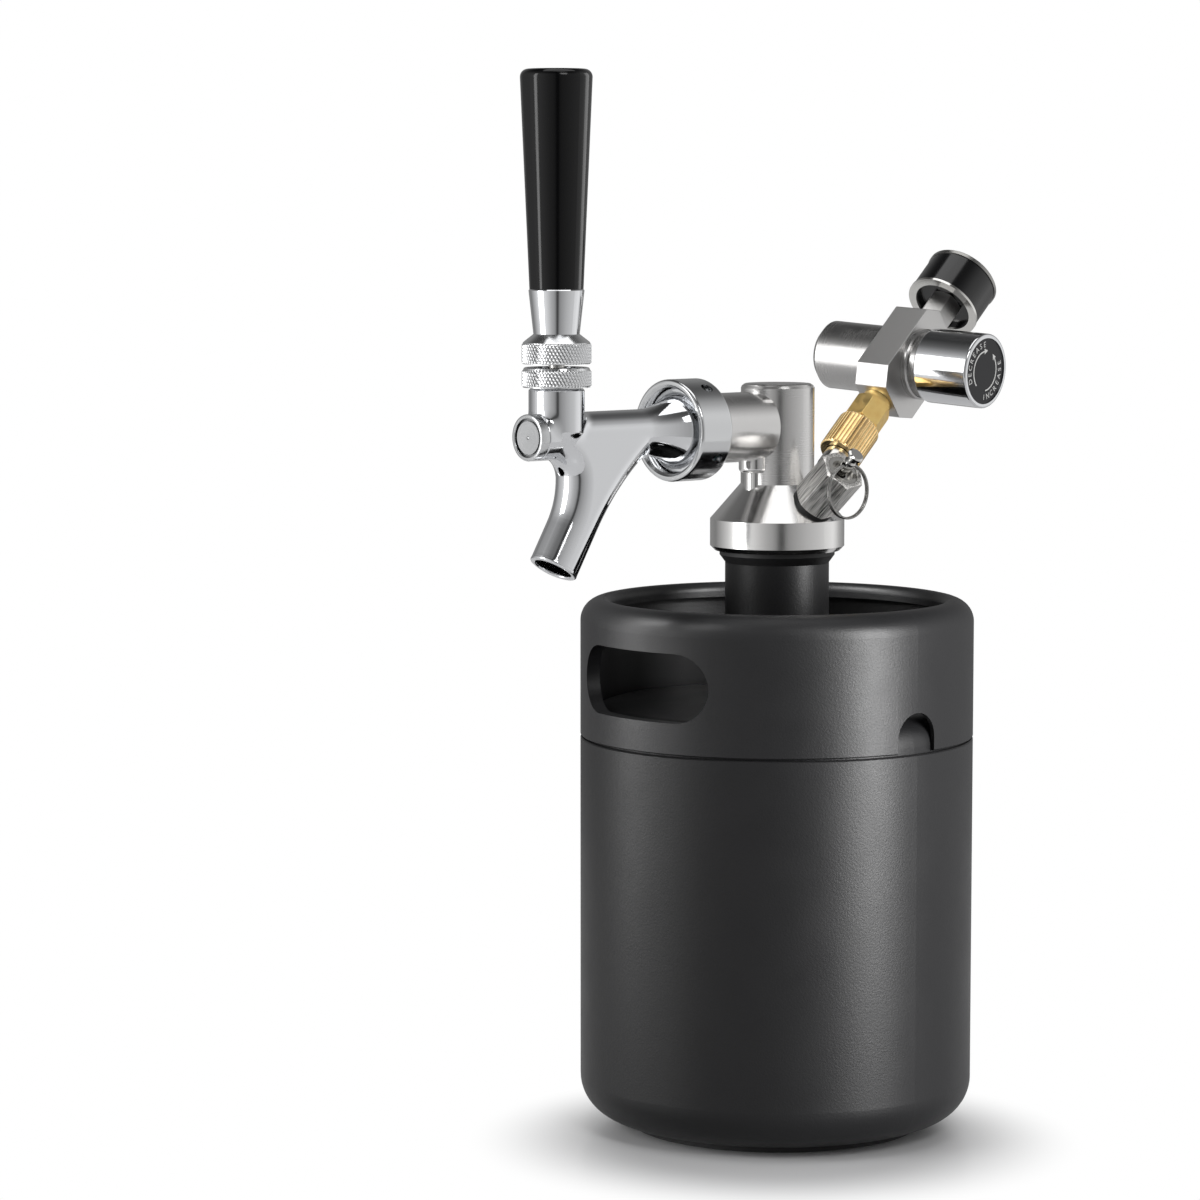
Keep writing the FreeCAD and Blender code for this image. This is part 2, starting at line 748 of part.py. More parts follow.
# Horizontal arm: saddle cut on the column, flanged at its free end for the coupling nut.
flange_start = "arm_length - arm_flange_thickness"
arm_blank = turned("arm_blank", [
    ("beer_bore_radius", "arm_root"),
    ("arm_radius", "arm_root"),
    ("arm_radius", flange_start),
    ("arm_flange_radius", flange_start),
    ("arm_flange_radius", "arm_length"),
    ("beer_bore_radius", "arm_length"),
], arm_frame)
saddle = turned("column_envelope", [("0", cone_top), ("column_radius", cone_top), ("column_radius", column_top),
                                    ("0", column_top)])
beer_arm = boolean("Cut", "beer_arm", [arm_blank, saddle])

# Stepped post between the cone and the arm's underside.
prop_head = f"{arm_height} - prop_head_length"
prop = turned("prop_blank", [
    ("0", prop_bottom),
    ("prop_foot_radius", prop_bottom),
    ("prop_foot_radius", prop_head),
    ("prop_head_radius - prop_edge_round", prop_head),
    ("prop_head_radius", f"{prop_head} + prop_edge_round", "prop_edge_round", 1),
    ("prop_head_radius", arm_height),
    ("0", arm_height),
], FreeCAD.Placement(FreeCAD.Vector(value(prop_x), value(prop_y), 0), FreeCAD.Rotation()))
arm_envelope = turned("arm_envelope", [("0", "0"), ("arm_radius", "0"), ("arm_radius", "arm_length"),
                                       ("0", "arm_length")], arm_frame)
prop_cutters = boolean("MultiFuse", "arm_and_column_envelope", [arm_envelope, saddle])
arm_prop = boolean("Cut", "arm_prop", [prop, prop_cutters])

# Rubber washer between the arm's end and the faucet's tail.
ring("shank_washer", "beer_bore_radius", "shank_washer_radius", "arm_length", "shank_washer_thickness", arm_frame)


# ---------------------------------------------------------------- faucet

# Cast faucet body.  Its own Y axis is the barrel's, pointing back to the arm, and its Z axis is the
# lever's.  The spout and the web that blends it into the barrel are one outline with full edges.
faucet = new_body("faucet_body", faucet_frame)
lean_y, lean_z = "sin(spout_lean)", "cos(spout_lean)"
throat_y = f"spout_tip_y + spout_straight * {lean_y}"
throat_z = f"spout_tip_z + spout_straight * {lean_z}"
crotch_y = f"{throat_y} + spout_throat_radius * (1 - {lean_z})"
crotch_z = f"{throat_z} + spout_throat_radius * {lean_y}"
heel_y = f"spout_tip_y + spout_width * {lean_z}"
heel_z = f"spout_tip_z - spout_width * {lean_y}"
back_y = f"{heel_y} + spout_back_straight * {lean_y}"
back_z = f"{heel_z} + spout_back_straight * {lean_z}"
root_y = f"(bell_start + 2.5 - ({back_y}))"
root_z = f"(spout_root_z - ({back_z}))"
back_radius = f"({root_y}^2 + {root_z}^2) / (2 * ({root_y} * {lean_z} - {root_z} * {lean_y}))"
web_sketch = new_sketch(faucet, "web", "YZ_Plane")
draw(web_sketch, [
    ("spout_tip_y", "spout_tip_z"),
    (heel_y, heel_z),
    (back_y, back_z),
    ("bell_start + 2.5", "spout_root_z", back_radius, -1),
    ("bell_start + 2.5", "0"),
    (f"{crotch_y} - spout_crotch_radius", "0"),
    (f"{crotch_y} - spout_crotch_radius", f"{crotch_z} + spout_crotch_radius"),
    (crotch_y, crotch_z, "spout_crotch_radius", -1),
    (throat_y, throat_z, "spout_throat_radius", -1),
])
web = faucet.newObject("PartDesign::Pad", "faucet_web")
web.Profile = web_sketch
web.Midplane = True
bind(web, Length="spout_thickness")
doc.recompute()


def long_edges(feature):
    """Names of the long edges of the web's flat sides: its front, throat and back, not its ends."""
    found = []
    mouth = FreeCAD.Vector(0, value(lean_y), value(lean_z))
    for number, edge in enumerate(feature.Shape.Edges, start=1):
        ends = edge.Vertexes[0].Point - edge.Vertexes[-1].Point
        is_side = edge.BoundBox.XLength < 0.01
        is_end = abs(ends.y) < 0.01 or abs(ends.z) < 0.01 or abs(ends.dot(mouth)) < 0.01
        if is_side and not is_end:
            found.append(f"Edge{number}")
    return found


soft = faucet.newObject("PartDesign::Fillet", "faucet_web_rounded")
soft.Base = (web, long_edges(web))
bind(soft, Radius="spout_edge_round")
bell_rise = "(bell_radius - barrel_radius)"
bell_run = "(bell_mouth - bell_start)"
tail_end = "lever_reach - arm_length - shank_washer_thickness"
spin(faucet, "barrel", [
    ("-barrel_front", "0"),
    (tail_end, "0"),
    (tail_end, "tail_radius"),
    (f"{tail_end} - tail_length", "tail_radius"),
    (f"{tail_end} - tail_length", "bell_radius + 1"),
    ("bell_mouth", "bell_radius"),
    ("bell_start", "barrel_radius", f"({bell_rise} * {bell_rise} + {bell_run} * {bell_run}) / (2 * {bell_rise})", -1),
    ("-barrel_front", "barrel_radius"),
], axis="H_Axis", role="YZ_Plane")
spin(faucet, "neck", [
    ("0", "-neck_post_taper"),
    ("neck_post_radius - neck_post_taper", "-neck_post_taper"),
    ("neck_post_radius", "neck_post_taper / 2"),
    ("neck_post_radius", "neck_post_height"),
    ("neck_post_thread_radius", "neck_post_height"),
    ("neck_post_thread_radius", "neck_post_thread_top"),
    ("0", "neck_post_thread_top"),
])
# Stepped bore: plug thread, shaft guide, beer chamber and, behind the valve seat, the bell's cavity.
spin(faucet, "bore", [
    ("-barrel_front - 1", "0"),
    (f"{tail_end} + 1", "0"),
    (f"{tail_end} + 1", "bell_bore_radius"),
    ("valve_seat", "bell_bore_radius"),
    ("valve_seat", "chamber_radius"),
    ("chamber_front", "chamber_radius"),
    ("chamber_front", "guide_radius"),
    ("plug_thread_length - barrel_front", "guide_radius"),
    ("plug_thread_length - barrel_front", "plug_thread_radius"),
    ("-barrel_front - 1", "plug_thread_radius"),
], "Groove", "H_Axis", "YZ_Plane")
cup = "ball_radius + ball_clearance"
spin(faucet, "ball_cup", [
    ("0", f"pivot_height - ({cup})"),
    (cup, "pivot_height", cup, 1),
    (cup, "neck_post_thread_top + 1"),
    ("0", "neck_post_thread_top + 1"),
], "Groove")
# Slot that lets the lever's tail swing back.
swing = "tan(tilt_range)"
slot_sketch = new_sketch(faucet, "swing_slot", "YZ_Plane")
draw(slot_sketch, [
    ("-lever_tail_radius - 0.8", "pivot_height - ball_radius + 1.5"),
    ("-lever_tail_radius - 0.8", "0"),
    (f"pivot_height * {swing} + lever_tip_radius + 0.6", "0"),
    (f"ball_radius * {swing} + lever_tail_radius", "pivot_height - ball_radius + 1.5"),
])
swing_slot = faucet.newObject("PartDesign::Pocket", "faucet_swing_slot")
swing_slot.Profile = slot_sketch
swing_slot.Midplane = True
bind(swing_slot, Length="2 * lever_tip_radius + 0.8")
# Spout bore, drilled straight up from the mouth into the beer chamber, and the vent under the barrel.
spout_mouth_y = f"(spout_tip_y + {heel_y}) / 2"
spout_mouth_z = f"(spout_tip_z + {heel_z}) / 2"
up_spout = FreeCAD.Rotation(across, -value("spout_lean"))
solid(faucet, "SubtractiveCylinder", "spout_bore",
      (0, f"{spout_mouth_y} - {lean_y}", f"{spout_mouth_z} - {lean_z}"), up_spout,
      Radius="spout_bore_radius", Height="spout_bore_length")
solid(faucet, "SubtractiveCylinder", "vent", (0, f"{crotch_y} - 2", "-vent_drop"), FreeCAD.Rotation(across, -90),
      Radius="vent_radius", Height="12")

# Screw plug closing the barrel's front, with a dished turned face.
plug_face = "barrel_front + plug_head_length"
plug_frame = frame_at(faucet_frame.Base, forward, across)
turned("faucet_plug", [
    ("0", "barrel_front - plug_thread_length + 0.1"),
    ("plug_thread_radius", "barrel_front - plug_thread_length + 0.1"),
    ("plug_thread_radius", "barrel_front"),
    ("barrel_radius", "barrel_front"),
    ("barrel_radius", f"{plug_face} - 0.6"),
    ("barrel_radius - 0.6", plug_face),
    ("plug_dish_radius", plug_face),
    ("plug_dish_radius", f"{plug_face} - plug_dish_depth"),
    ("0", f"{plug_face} - plug_dish_depth"),
], plug_frame)

# Friction washer that bears on the lever's ball, and the knurled bonnet that holds it down.
washer_bottom = "neck_post_thread_top"
ring("friction_washer", "friction_washer_bore", "neck_post_thread_radius", washer_bottom,
     "friction_washer_thickness", faucet_frame)
bonnet_top = "bonnet_bottom + bonnet_height"
washer_top = f"{washer_bottom} + friction_washer_thickness"
turned("faucet_bonnet", [
    ("neck_post_thread_radius", "bonnet_bottom"),
    ("bonnet_radius - 0.4", "bonnet_bottom"),
    ("bonnet_radius", "bonnet_bottom + 0.4"),
    ("bonnet_radius", f"{bonnet_top} - bonnet_chamfer"),
    ("bonnet_radius - bonnet_chamfer", bonnet_top),
    ("bonnet_mouth_radius", bonnet_top),
    ("friction_washer_bore + 0.3", washer_top),
    ("neck_post_thread_radius", washer_top),
], faucet_frame)

# Coupling nut: captive behind the arm's flange, screwed over the faucet's tail, four spanner holes.
nut_start = "(arm_length - nut_set_back)"
nut_end = f"{nut_start} + nut_length"
nut = turned("coupling_nut", [
    ("arm_radius + running_gap", nut_start),
    ("nut_radius - nut_edge_round", nut_start),
    ("nut_radius", f"{nut_start} + nut_edge_round", "nut_edge_round", 1),
    ("nut_radius", f"{nut_end} - nut_edge_round"),
    ("nut_radius - nut_edge_round", nut_end, "nut_edge_round", 1),
    ("nut_thread_radius + 0.9", nut_end),
    ("nut_thread_radius", f"{nut_end} - 0.9"),
    ("nut_thread_radius", f"{flange_start} - running_gap"),
    ("arm_radius + running_gap", f"{flange_start} - running_gap"),
], arm_frame)
hole = nut.newObject("PartDesign::SubtractiveCylinder", "coupling_nut_spanner_hole")
hole_turn = FreeCAD.Rotation(up, value("spanner_hole_angle"))
outwards = FreeCAD.Rotation(FreeCAD.Vector(0, 1, 0), 90)
hole.Placement = FreeCAD.Placement(FreeCAD.Vector(), hole_turn.multiply(outwards))
bind(hole, Radius="spanner_hole_radius", Height="nut_radius + 1")
hole.setExpression("Placement.Base.z", formula(f"{nut_start} + spanner_hole_place"))
holes = nut.newObject("PartDesign::PolarPattern", "coupling_nut_spanner_holes")
holes.Originals = [hole]
holes.Axis = (origin_plane(nut, "Z_Axis"), [""])
holes.Angle = 360
holes.Occurrences = 4
nut.Tip = holes


# ---------------------------------------------------------------- lever, handle and valve shaft

# Lever: threaded stem, ball and tapered tail whose tip drives the valve shaft.
collar_bottom = f"{bonnet_top} + collar_gap - pivot_height"
lever = turned("lever", [
    ("0", "-pivot_height + lever_tip_radius * 0.6"),
    ("lever_tail_radius - 0.5", "-pivot_height + lever_tip_radius * 0.6"),
    ("lever_tail_radius", "-ball_radius - 1"),
    ("lever_tail_radius", "-ball_radius + 0.6"),
    ("lever_neck_radius + 0.2", "-ball_radius + 0.6"),
    ("lever_neck_radius + 0.2", "ball_radius - 0.6"),
    ("lever_neck_radius", f"{collar_bottom} + collar_hollow_depth - 2"),
    ("lever_stem_radius", f"{collar_bottom} + collar_hollow_depth"),
    ("lever_stem_radius", "lever_stem_top"),
    ("0", "lever_stem_top"),
], lever_frame)
solid(lever, "AdditiveSphere", "ball", Radius="ball_radius")
solid(lever, "AdditiveSphere", "tip", (0, 0, "-pivot_height"), Radius="lever_tip_radius")

# Knurled lever collar, hollow underneath so that it clears the bonnet as the lever tilts.
hollow_top = f"{collar_bottom} + collar_hollow_depth"
knurl_top = f"{collar_bottom} + collar_knurl_height"
collar_top_z = f"{knurl_top} + collar_cone_height"
turned("lever_collar", [
    ("lever_stem_radius", hollow_top),
    ("bonnet_radius - collar_wall", hollow_top),
    ("bonnet_radius - collar_wall", collar_bottom),
    ("bonnet_radius", collar_bottom),
    ("bonnet_radius", knurl_top),
    ("collar_cone_base", knurl_top),
    ("ferrule_bottom_radius", collar_top_z),
    ("lever_stem_radius", collar_top_z),
], lever_frame)

# Chrome ferrule under the handle.
ferrule_top = f"{collar_top_z} + ferrule_height"
turned("handle_ferrule", [
    ("lever_stem_radius", collar_top_z),
    ("ferrule_bottom_radius", collar_top_z),
    ("ferrule_top_radius", f"{ferrule_top} - 0.4"),
    ("ferrule_top_radius - 0.4", ferrule_top),
    ("lever_stem_radius", ferrule_top),
], lever_frame)

# Tapered moulded handle, drilled for the lever's thread.
handle_top = f"{ferrule_top} + handle_height"
turned("tap_handle", [
    ("lever_stem_radius", ferrule_top),
    ("handle_bottom_radius", ferrule_top),
    ("handle_top_radius", f"{handle_top} - handle_edge_round"),
    ("handle_top_radius - handle_edge_round", handle_top, "handle_edge_round", 1),
    ("0", handle_top),
    ("0", "lever_stem_top + 1"),
    ("lever_stem_radius", "lever_stem_top + 1"),
], lever_frame)

# Valve shaft along the barrel, with a collar drilled for the lever's tip.
shaft_front = "-shaft_collar_length / 2"
nut_front = "valve_seat + seat_washer_thickness"
shaft = turned("valve_shaft", [
    ("0", shaft_front),
    ("shaft_collar_radius", shaft_front),
    ("shaft_collar_radius", "shaft_collar_length / 2"),
    ("shaft_radius", "shaft_collar_length / 2 + 0.8"),
    ("shaft_radius", "valve_seat - 0.2"),
    ("shaft_radius - 1", "valve_seat"),
    ("shaft_radius - 1", f"{nut_front} + shaft_nut_length"),
    ("0", f"{nut_front} + shaft_nut_length"),
], barrel_frame)
# The barrel frame's Y axis points down, so the tip's hole runs the other way from the top.
solid(shaft, "SubtractiveCylinder", "tip_hole", (0, "lever_tip_radius + 1", 0), FreeCAD.Rotation(across, 90),
      Radius="lever_tip_radius + tip_clearance", Height="shaft_collar_radius + lever_tip_radius + 2")
mouth = solid(shaft, "SubtractiveCone", "tip_mouth", (0, 0, 0), FreeCAD.Rotation(across, 90),
              Radius1="lever_tip_radius + tip_clearance", Radius2="lever_tip_radius + tip_clearance + 1.7",
              Height="shaft_collar_radius + 0.6")
ring("seat_washer", "shaft_radius - 1", "seat_washer_radius", "valve_seat", "seat_washer_thickness", barrel_frame)
ring("shaft_nut", "shaft_radius - 1", "shaft_nut_radius", nut_front, "shaft_nut_length", barrel_frame)


# ---------------------------------------------------------------- gas line

# Black washer and steel port standing square on the cone.
seat = "-port_seat_depth"
port_foot = f"{seat} + port_washer_thickness"
ring("port_washer", "port_spigot_radius", "port_washer_radius", seat, "port_washer_thickness", gas_frame)
turned("gas_port", [
    ("port_bore_radius", "-port_spigot_length"),
    ("port_spigot_radius", "-port_spigot_length"),
    ("port_spigot_radius", port_foot),
    ("port_base_radius", port_foot),
    ("port_base_radius", "port_base_length"),
    ("port_neck_radius", "port_base_length + 1"),
    ("port_neck_radius", "port_length - port_thread_length"),
    ("port_thread_radius", "port_length - port_thread_length"),
    ("port_thread_radius", "port_length"),
    ("port_bore_radius", "port_length"),
], gas_frame)

# Fluted brass swivel nut, captive on the adapter's flange.
gas_nut_end = "gas_nut_start + gas_nut_length"
lip_start = f"{gas_nut_end} - gas_nut_lip"
swivel = turned("swivel_nut", [
    ("port_thread_radius + running_gap", "gas_nut_start"),
    ("gas_nut_radius - 0.5", "gas_nut_start"),
    ("gas_nut_radius", "gas_nut_start + 0.5"),
    ("gas_nut_radius", f"{gas_nut_end} - gas_nut_edge_round"),
    ("gas_nut_radius - gas_nut_edge_round", gas_nut_end, "gas_nut_edge_round", 1),
    ("adapter_tail_radius + running_gap", gas_nut_end),
    ("adapter_tail_radius + running_gap", lip_start),
    ("port_thread_radius + running_gap", lip_start),
], gas_frame)
flute = solid(swivel, "SubtractiveCylinder", "flute", ("gas_nut_radius", 0, "gas_nut_start - 1"),
              Radius="flute_radius", Height="gas_nut_length + 2")
flutes = swivel.newObject("PartDesign::PolarPattern", "swivel_nut_flutes")
flutes.Originals = [flute]
flutes.Axis = (origin_plane(swivel, "Z_Axis"), [""])
flutes.Angle = 360
bind(flutes, Occurrences="flute_count")
swivel.Tip = flutes

# Brass adapter: flanged tail inside the nut, hexagon, round collar and the thread in the block.
tail_start = "port_length"
hex_start = f"{gas_nut_end} + running_gap"
hex_end = f"{hex_start} + adapter_hex_length"
adapter = turned("gas_adapter", [
    ("port_bore_radius", tail_start),
    ("adapter_flange_radius", tail_start),
    ("adapter_flange_radius", f"{lip_start} - running_gap"),
    ("adapter_tail_radius", f"{lip_start} - running_gap"),
    ("adapter_tail_radius", f"{hex_start} + 1"),
    ("adapter_collar_radius", f"{hex_start} + 1"),
    ("adapter_collar_radius", adapter_end),
    ("adapter_spigot_radius", adapter_end),
    ("adapter_spigot_radius", f"{adapter_end} + adapter_spigot_length"),
    ("port_bore_radius", f"{adapter_end} + adapter_spigot_length"),
], gas_frame)
hexagon(adapter, "hexagon", "adapter_hex_flats", hex_start, "adapter_hex_length")
solid(adapter, "SubtractiveCylinder", "gas_bore", (0, 0, f"{tail_start} - 1"), Radius="port_bore_radius",
      Height=f"{adapter_end} + adapter_spigot_length - {tail_start} + 2")


# ---------------------------------------------------------------- regulator

# Machined block: an octagonal profile along the gas line, thick across it.  The frame's Z axis is
# the knob's, its X axis the gas line's.
block = new_body("regulator_block", regulator_frame)
block_sketch = new_sketch(block, "profile", "XY_Plane")
half_length, half_width = "block_length / 2", "block_width / 2"
draw(block_sketch, [
    (f"-{half_length}", f"{half_width} - block_corner"),
    (f"-{half_length}", f"block_corner - {half_width}"),
    (f"block_corner - {half_length}", f"-{half_width}"),
    (f"{half_length} - block_corner", f"-{half_width}"),
    (half_length, f"block_corner - {half_width}"),
    (half_length, f"{half_width} - block_corner"),
    (f"{half_length} - block_corner", half_width),
    (f"block_corner - {half_length}", half_width),
])
block_pad = block.newObject("PartDesign::Pad", "regulator_block_pad")
block_pad.Profile = block_sketch
block_pad.Midplane = True
bind(block_pad, Length="block_thickness")
doc.recompute()
corner_round = block.newObject("PartDesign::Fillet", "regulator_block_corners")
corner_round.Base = (block_pad, [f"Edge{number}" for number, edge in enumerate(block_pad.Shape.Edges, start=1)
                                 if edge.BoundBox.ZLength > value("block_thickness") - 0.01])
bind(corner_round, Radius="block_edge_round")
along = FreeCAD.Rotation(FreeCAD.Vector(0, 1, 0), 90)
solid(block, "SubtractiveCylinder", "adapter_hole", (f"-{half_length} - 1", 0, 0), along,
      Radius="adapter_spigot_radius", Height="adapter_spigot_length + 1")
solid(block, "SubtractiveCylinder", "gauge_hole", (f"{half_length} - gauge_spigot_length", 0, 0), along,
      Radius="gauge_spigot_radius", Height="gauge_spigot_length + 1")
solid(block, "SubtractiveCylinder", "gas_way", (f"-{half_length}", 0, 0), along,
      Radius="port_bore_radius", Height="block_length")
half_thick = "block_thickness / 2"
solid(block, "SubtractiveCylinder", "piston_hole", (0, 0, f"{half_thick} - piston_thickness"),
      Radius="piston_radius", Height="piston_thickness + 1")
solid(block, "SubtractiveCylinder", "pierce_way", (0, 0, f"-{half_thick} - 1"),
      Radius="pin_radius", Height=f"{half_thick} + 1")

# Cartridge socket: chamfered cylinder with a wide mouth, the cartridge's thread and an undercut.
socket_end = f"-({half_thick} + socket_length)"
mouth_end = f"{socket_end} + socket_mouth_depth"
thread_end = f"{mouth_end} + socket_thread_length"
undercut_end = f"{thread_end} + socket_relief_length"
turned("cartridge_socket", [
    ("socket_mouth_radius", socket_end),
    ("socket_radius - socket_chamfer", socket_end),
    ("socket_radius", f"{socket_end} + socket_chamfer"),
    ("socket_radius", f"-{half_thick}"),
    ("pin_radius", f"-{half_thick}"),
    ("pin_radius", undercut_end),
    ("socket_relief_radius", undercut_end),
    ("socket_relief_radius", thread_end),
    ("socket_thread_radius", thread_end),
    ("socket_thread_radius", mouth_end),
    ("socket_mouth_radius", f"{mouth_end} - 1.5"),
], regulator_frame)

# Rubber seal at the bottom of the undercut and the pin that pierces the cartridge.
ring("cartridge_seal", "pin_radius + 0.4", "pierce_seal_radius", f"{undercut_end} - pierce_seal_thickness",
     "pierce_seal_thickness", regulator_frame)
turned("piercing_pin", [
    ("0", f"{thread_end} + pin_clearance"),
    ("pin_radius", f"{thread_end} + pin_clearance + pin_point_length"),
    ("pin_radius", f"-{half_thick}"),
    ("0", f"-{half_thick}"),
], regulator_frame)

# Bonnet on the other side: stepped collar and the tube that the knob turns on.
ring_end = f"{half_thick} + bonnet_ring_length"
groove_end = f"{ring_end} + bonnet_groove_length"
turned("regulator_bonnet", [
    ("bonnet_tube_bore", half_thick),
    ("bonnet_ring_radius", half_thick),
    ("bonnet_ring_radius", f"{ring_end} - 0.5"),
    ("bonnet_ring_radius - 0.5", ring_end),
    ("bonnet_groove_radius", ring_end),
    ("bonnet_groove_radius", groove_end),
    ("bonnet_tube_radius", groove_end),
    ("bonnet_tube_radius", f"{half_thick} + bonnet_tube_length"),
    ("bonnet_tube_bore", f"{half_thick} + bonnet_tube_length"),
], regulator_frame)

# Piston, range spring, and the adjusting screw that loads them, which turns with the knob.
turned("regulator_piston", [
    ("0", f"{half_thick} - piston_thickness"),
    ("piston_radius", f"{half_thick} - piston_thickness"),
    ("piston_radius", half_thick),
    ("0", half_thick),
], regulator_frame)
screw_foot = f"{half_thick} + screw_reach"
coil("range_spring", "spring_radius", "spring_wire", "spring_turns", half_thick, "screw_reach", regulator_frame)
knob_start = f"{groove_end} + running_gap"
knob_end = f"{knob_start} + knob_length"
knob_floor = f"{knob_end} - knob_face_thickness"
turned("adjusting_screw", [
    ("0", screw_foot),
    ("screw_pad_radius", screw_foot),
    ("screw_pad_radius", f"{screw_foot} + screw_pad_thickness"),
    ("screw_radius", f"{screw_foot} + screw_pad_thickness"),
    ("screw_radius", knob_floor),
    ("0", knob_floor),
], regulator_frame)

# Polished cup-shaped knob with a dark disc let into its face.
turned("pressure_knob", [
    ("0", knob_floor),
    ("knob_radius - knob_wall", knob_floor),
    ("knob_radius - knob_wall", knob_start),
    ("knob_radius - knob_edge_round", knob_start),
    ("knob_radius", f"{knob_start} + knob_edge_round", "knob_edge_round", 1),
    ("knob_radius", f"{knob_end} - knob_edge_round"),
    ("knob_radius - knob_edge_round", knob_end, "knob_edge_round", 1),
    ("disc_radius", knob_end),
    ("disc_radius", f"{knob_end} - disc_recess"),
    ("0", f"{knob_end} - disc_recess"),
], regulator_frame)
turned("knob_disc", [
    ("0", f"{knob_end} - disc_recess"),
    ("disc_radius", f"{knob_end} - disc_recess"),
    ("disc_radius", f"{knob_end} - disc_proud * 2"),
    ("0", f"{knob_end} - disc_proud * 2"),
], regulator_frame)


# ---------------------------------------------------------------- pressure gauge

# Hexagonal stem screwed into the block's far end.
gauge_back = "gauge_place"
case_floor = f"{gauge_back} + gauge_recess"
stem = turned("gauge_stem", [
    ("port_bore_radius", "-gauge_spigot_length"),
    ("gauge_spigot_radius", "-gauge_spigot_length"),
    ("gauge_spigot_radius", f"{case_floor}"),
    ("port_bore_radius", f"{case_floor}"),
], gauge_frame)
hexagon(stem, "hexagon", "gauge_hex_flats", "0", case_floor, "15", ("", "hex_chamfer"))
solid(stem, "SubtractiveCylinder", "gas_bore", (0, 0, "-gauge_spigot_length - 1"), Radius="port_bore_radius",
      Height="gauge_spigot_length + gauge_hex_length + 4")

# Steel back ring, black case with a recessed back, dial, lens and bezel.
ring("gauge_back_ring", "gauge_radius - back_ring_width", "gauge_radius", gauge_back, "back_ring_thickness",
     gauge_frame)
case_start = f"{gauge_back} + back_ring_thickness"
gauge_end = f"{gauge_back} + gauge_depth"
bezel_start = f"{gauge_end} - bezel_depth"
lens_bottom = f"{gauge_end} - 0.5 - lens_thickness"
case_inner = "gauge_case_radius - gauge_wall"
turned("gauge_case", [
    ("gauge_radius - back_ring_width", case_start),
    ("gauge_case_radius", case_start),
    ("gauge_case_radius", bezel_start),
    (case_inner, bezel_start),
    (case_inner, f"{case_floor} + gauge_floor"),
    ("0", f"{case_floor} + gauge_floor"),
    ("0", case_floor),
    ("gauge_radius - back_ring_width", case_floor),
], gauge_frame)
dial_top = f"{gauge_end} - dial_gap"
dial_bottom = f"{dial_top} - dial_thickness"
turned("gauge_dial", [
    ("0", f"{case_floor} + gauge_floor"),
    (f"{case_inner} - 3", f"{case_floor} + gauge_floor"),
    (f"{case_inner} - 3", dial_bottom),
    (case_inner, dial_bottom),
    (case_inner, dial_top),
    ("0", dial_top),
], gauge_frame)
turned("gauge_bezel", [
    (case_inner, bezel_start),
    ("gauge_radius", bezel_start),
    ("gauge_radius", f"{gauge_end} - 0.6"),
    ("gauge_radius - 0.6", gauge_end),
    ("gauge_radius - bezel_lip", gauge_end),
    (case_inner, f"{gauge_end} - 0.5"),
], gauge_frame)
ring("gauge_lens", "0", case_inner, lens_bottom, "lens_thickness", gauge_frame)

# Needle on its hub, resting at the low end of the scale.
needle_bottom = f"{dial_top} + needle_lift"
rest_turn = FreeCAD.Placement(FreeCAD.Vector(), FreeCAD.Rotation(up, value("needle_rest_angle")))
needle = new_body("gauge_needle", gauge_frame.multiply(rest_turn))
needle_sketch = new_sketch(needle, "blade", "XY_Plane", needle_bottom)
draw(needle_sketch, [("-needle_width", "-needle_tail"), ("needle_width", "-needle_tail"),
                     ("needle_width / 2", "0"), ("0", "needle_length"), ("-needle_width / 2", "0")])
blade = needle.newObject("PartDesign::Pad", "gauge_needle_blade")
blade.Profile = needle_sketch
bind(blade, Length="needle_thickness")
solid(needle, "AdditiveCylinder", "hub", (0, 0, f"{dial_top} + 0.3"), Radius="needle_hub_radius",
      Height="needle_lift + needle_thickness + 0.1")


# ---------------------------------------------------------------- relief valve

# Black washer and brushed hexagonal body with a spring chamber.
relief_foot = f"{seat} + relief_washer_thickness"
relief_end = f"{relief_foot} + relief_hex_length"
ring("relief_washer", "relief_spigot_radius", "relief_washer_radius", seat, "relief_washer_thickness",
     relief_frame)
relief = turned("relief_body", [
    ("0", "-relief_spigot_length"),
    ("relief_spigot_radius", "-relief_spigot_length"),
    ("relief_spigot_radius", f"{relief_foot} + 1"),
    ("0", f"{relief_foot} + 1"),
], relief_frame)
hexagon(relief, "hexagon", "relief_flats", relief_foot, "relief_hex_length", "relief_turn", ("1.2", "1.2"))
cap_seat = f"{relief_end} - relief_cap_depth"
solid(relief, "SubtractiveCylinder", "gas_bore", (0, 0, "-relief_spigot_length - 1"),
      Radius="relief_bore_radius", Height="relief_spigot_length + relief_hex_length")
solid(relief, "SubtractiveCylinder", "chamber", (0, 0, "relief_chamber_start"),
      Radius="relief_chamber_radius", Height=f"{relief_end} - relief_chamber_start")
solid(relief, "SubtractiveCylinder", "cap_bore", (0, 0, cap_seat), Radius="relief_cap_radius",
      Height="relief_cap_depth + 1")

# Screwed cap ring that holds the spring in and guides the pin.
turned("relief_cap", [
    ("relief_cap_bore", cap_seat),
    ("relief_cap_radius", cap_seat),
    ("relief_cap_radius", f"{relief_end} - 0.3"),
    ("relief_cap_dish", f"{relief_end} - 0.3"),
    ("relief_cap_dish", f"{relief_end} - relief_dish_depth"),
    ("relief_cap_bore", f"{relief_end} - relief_dish_depth"),
], relief_frame)

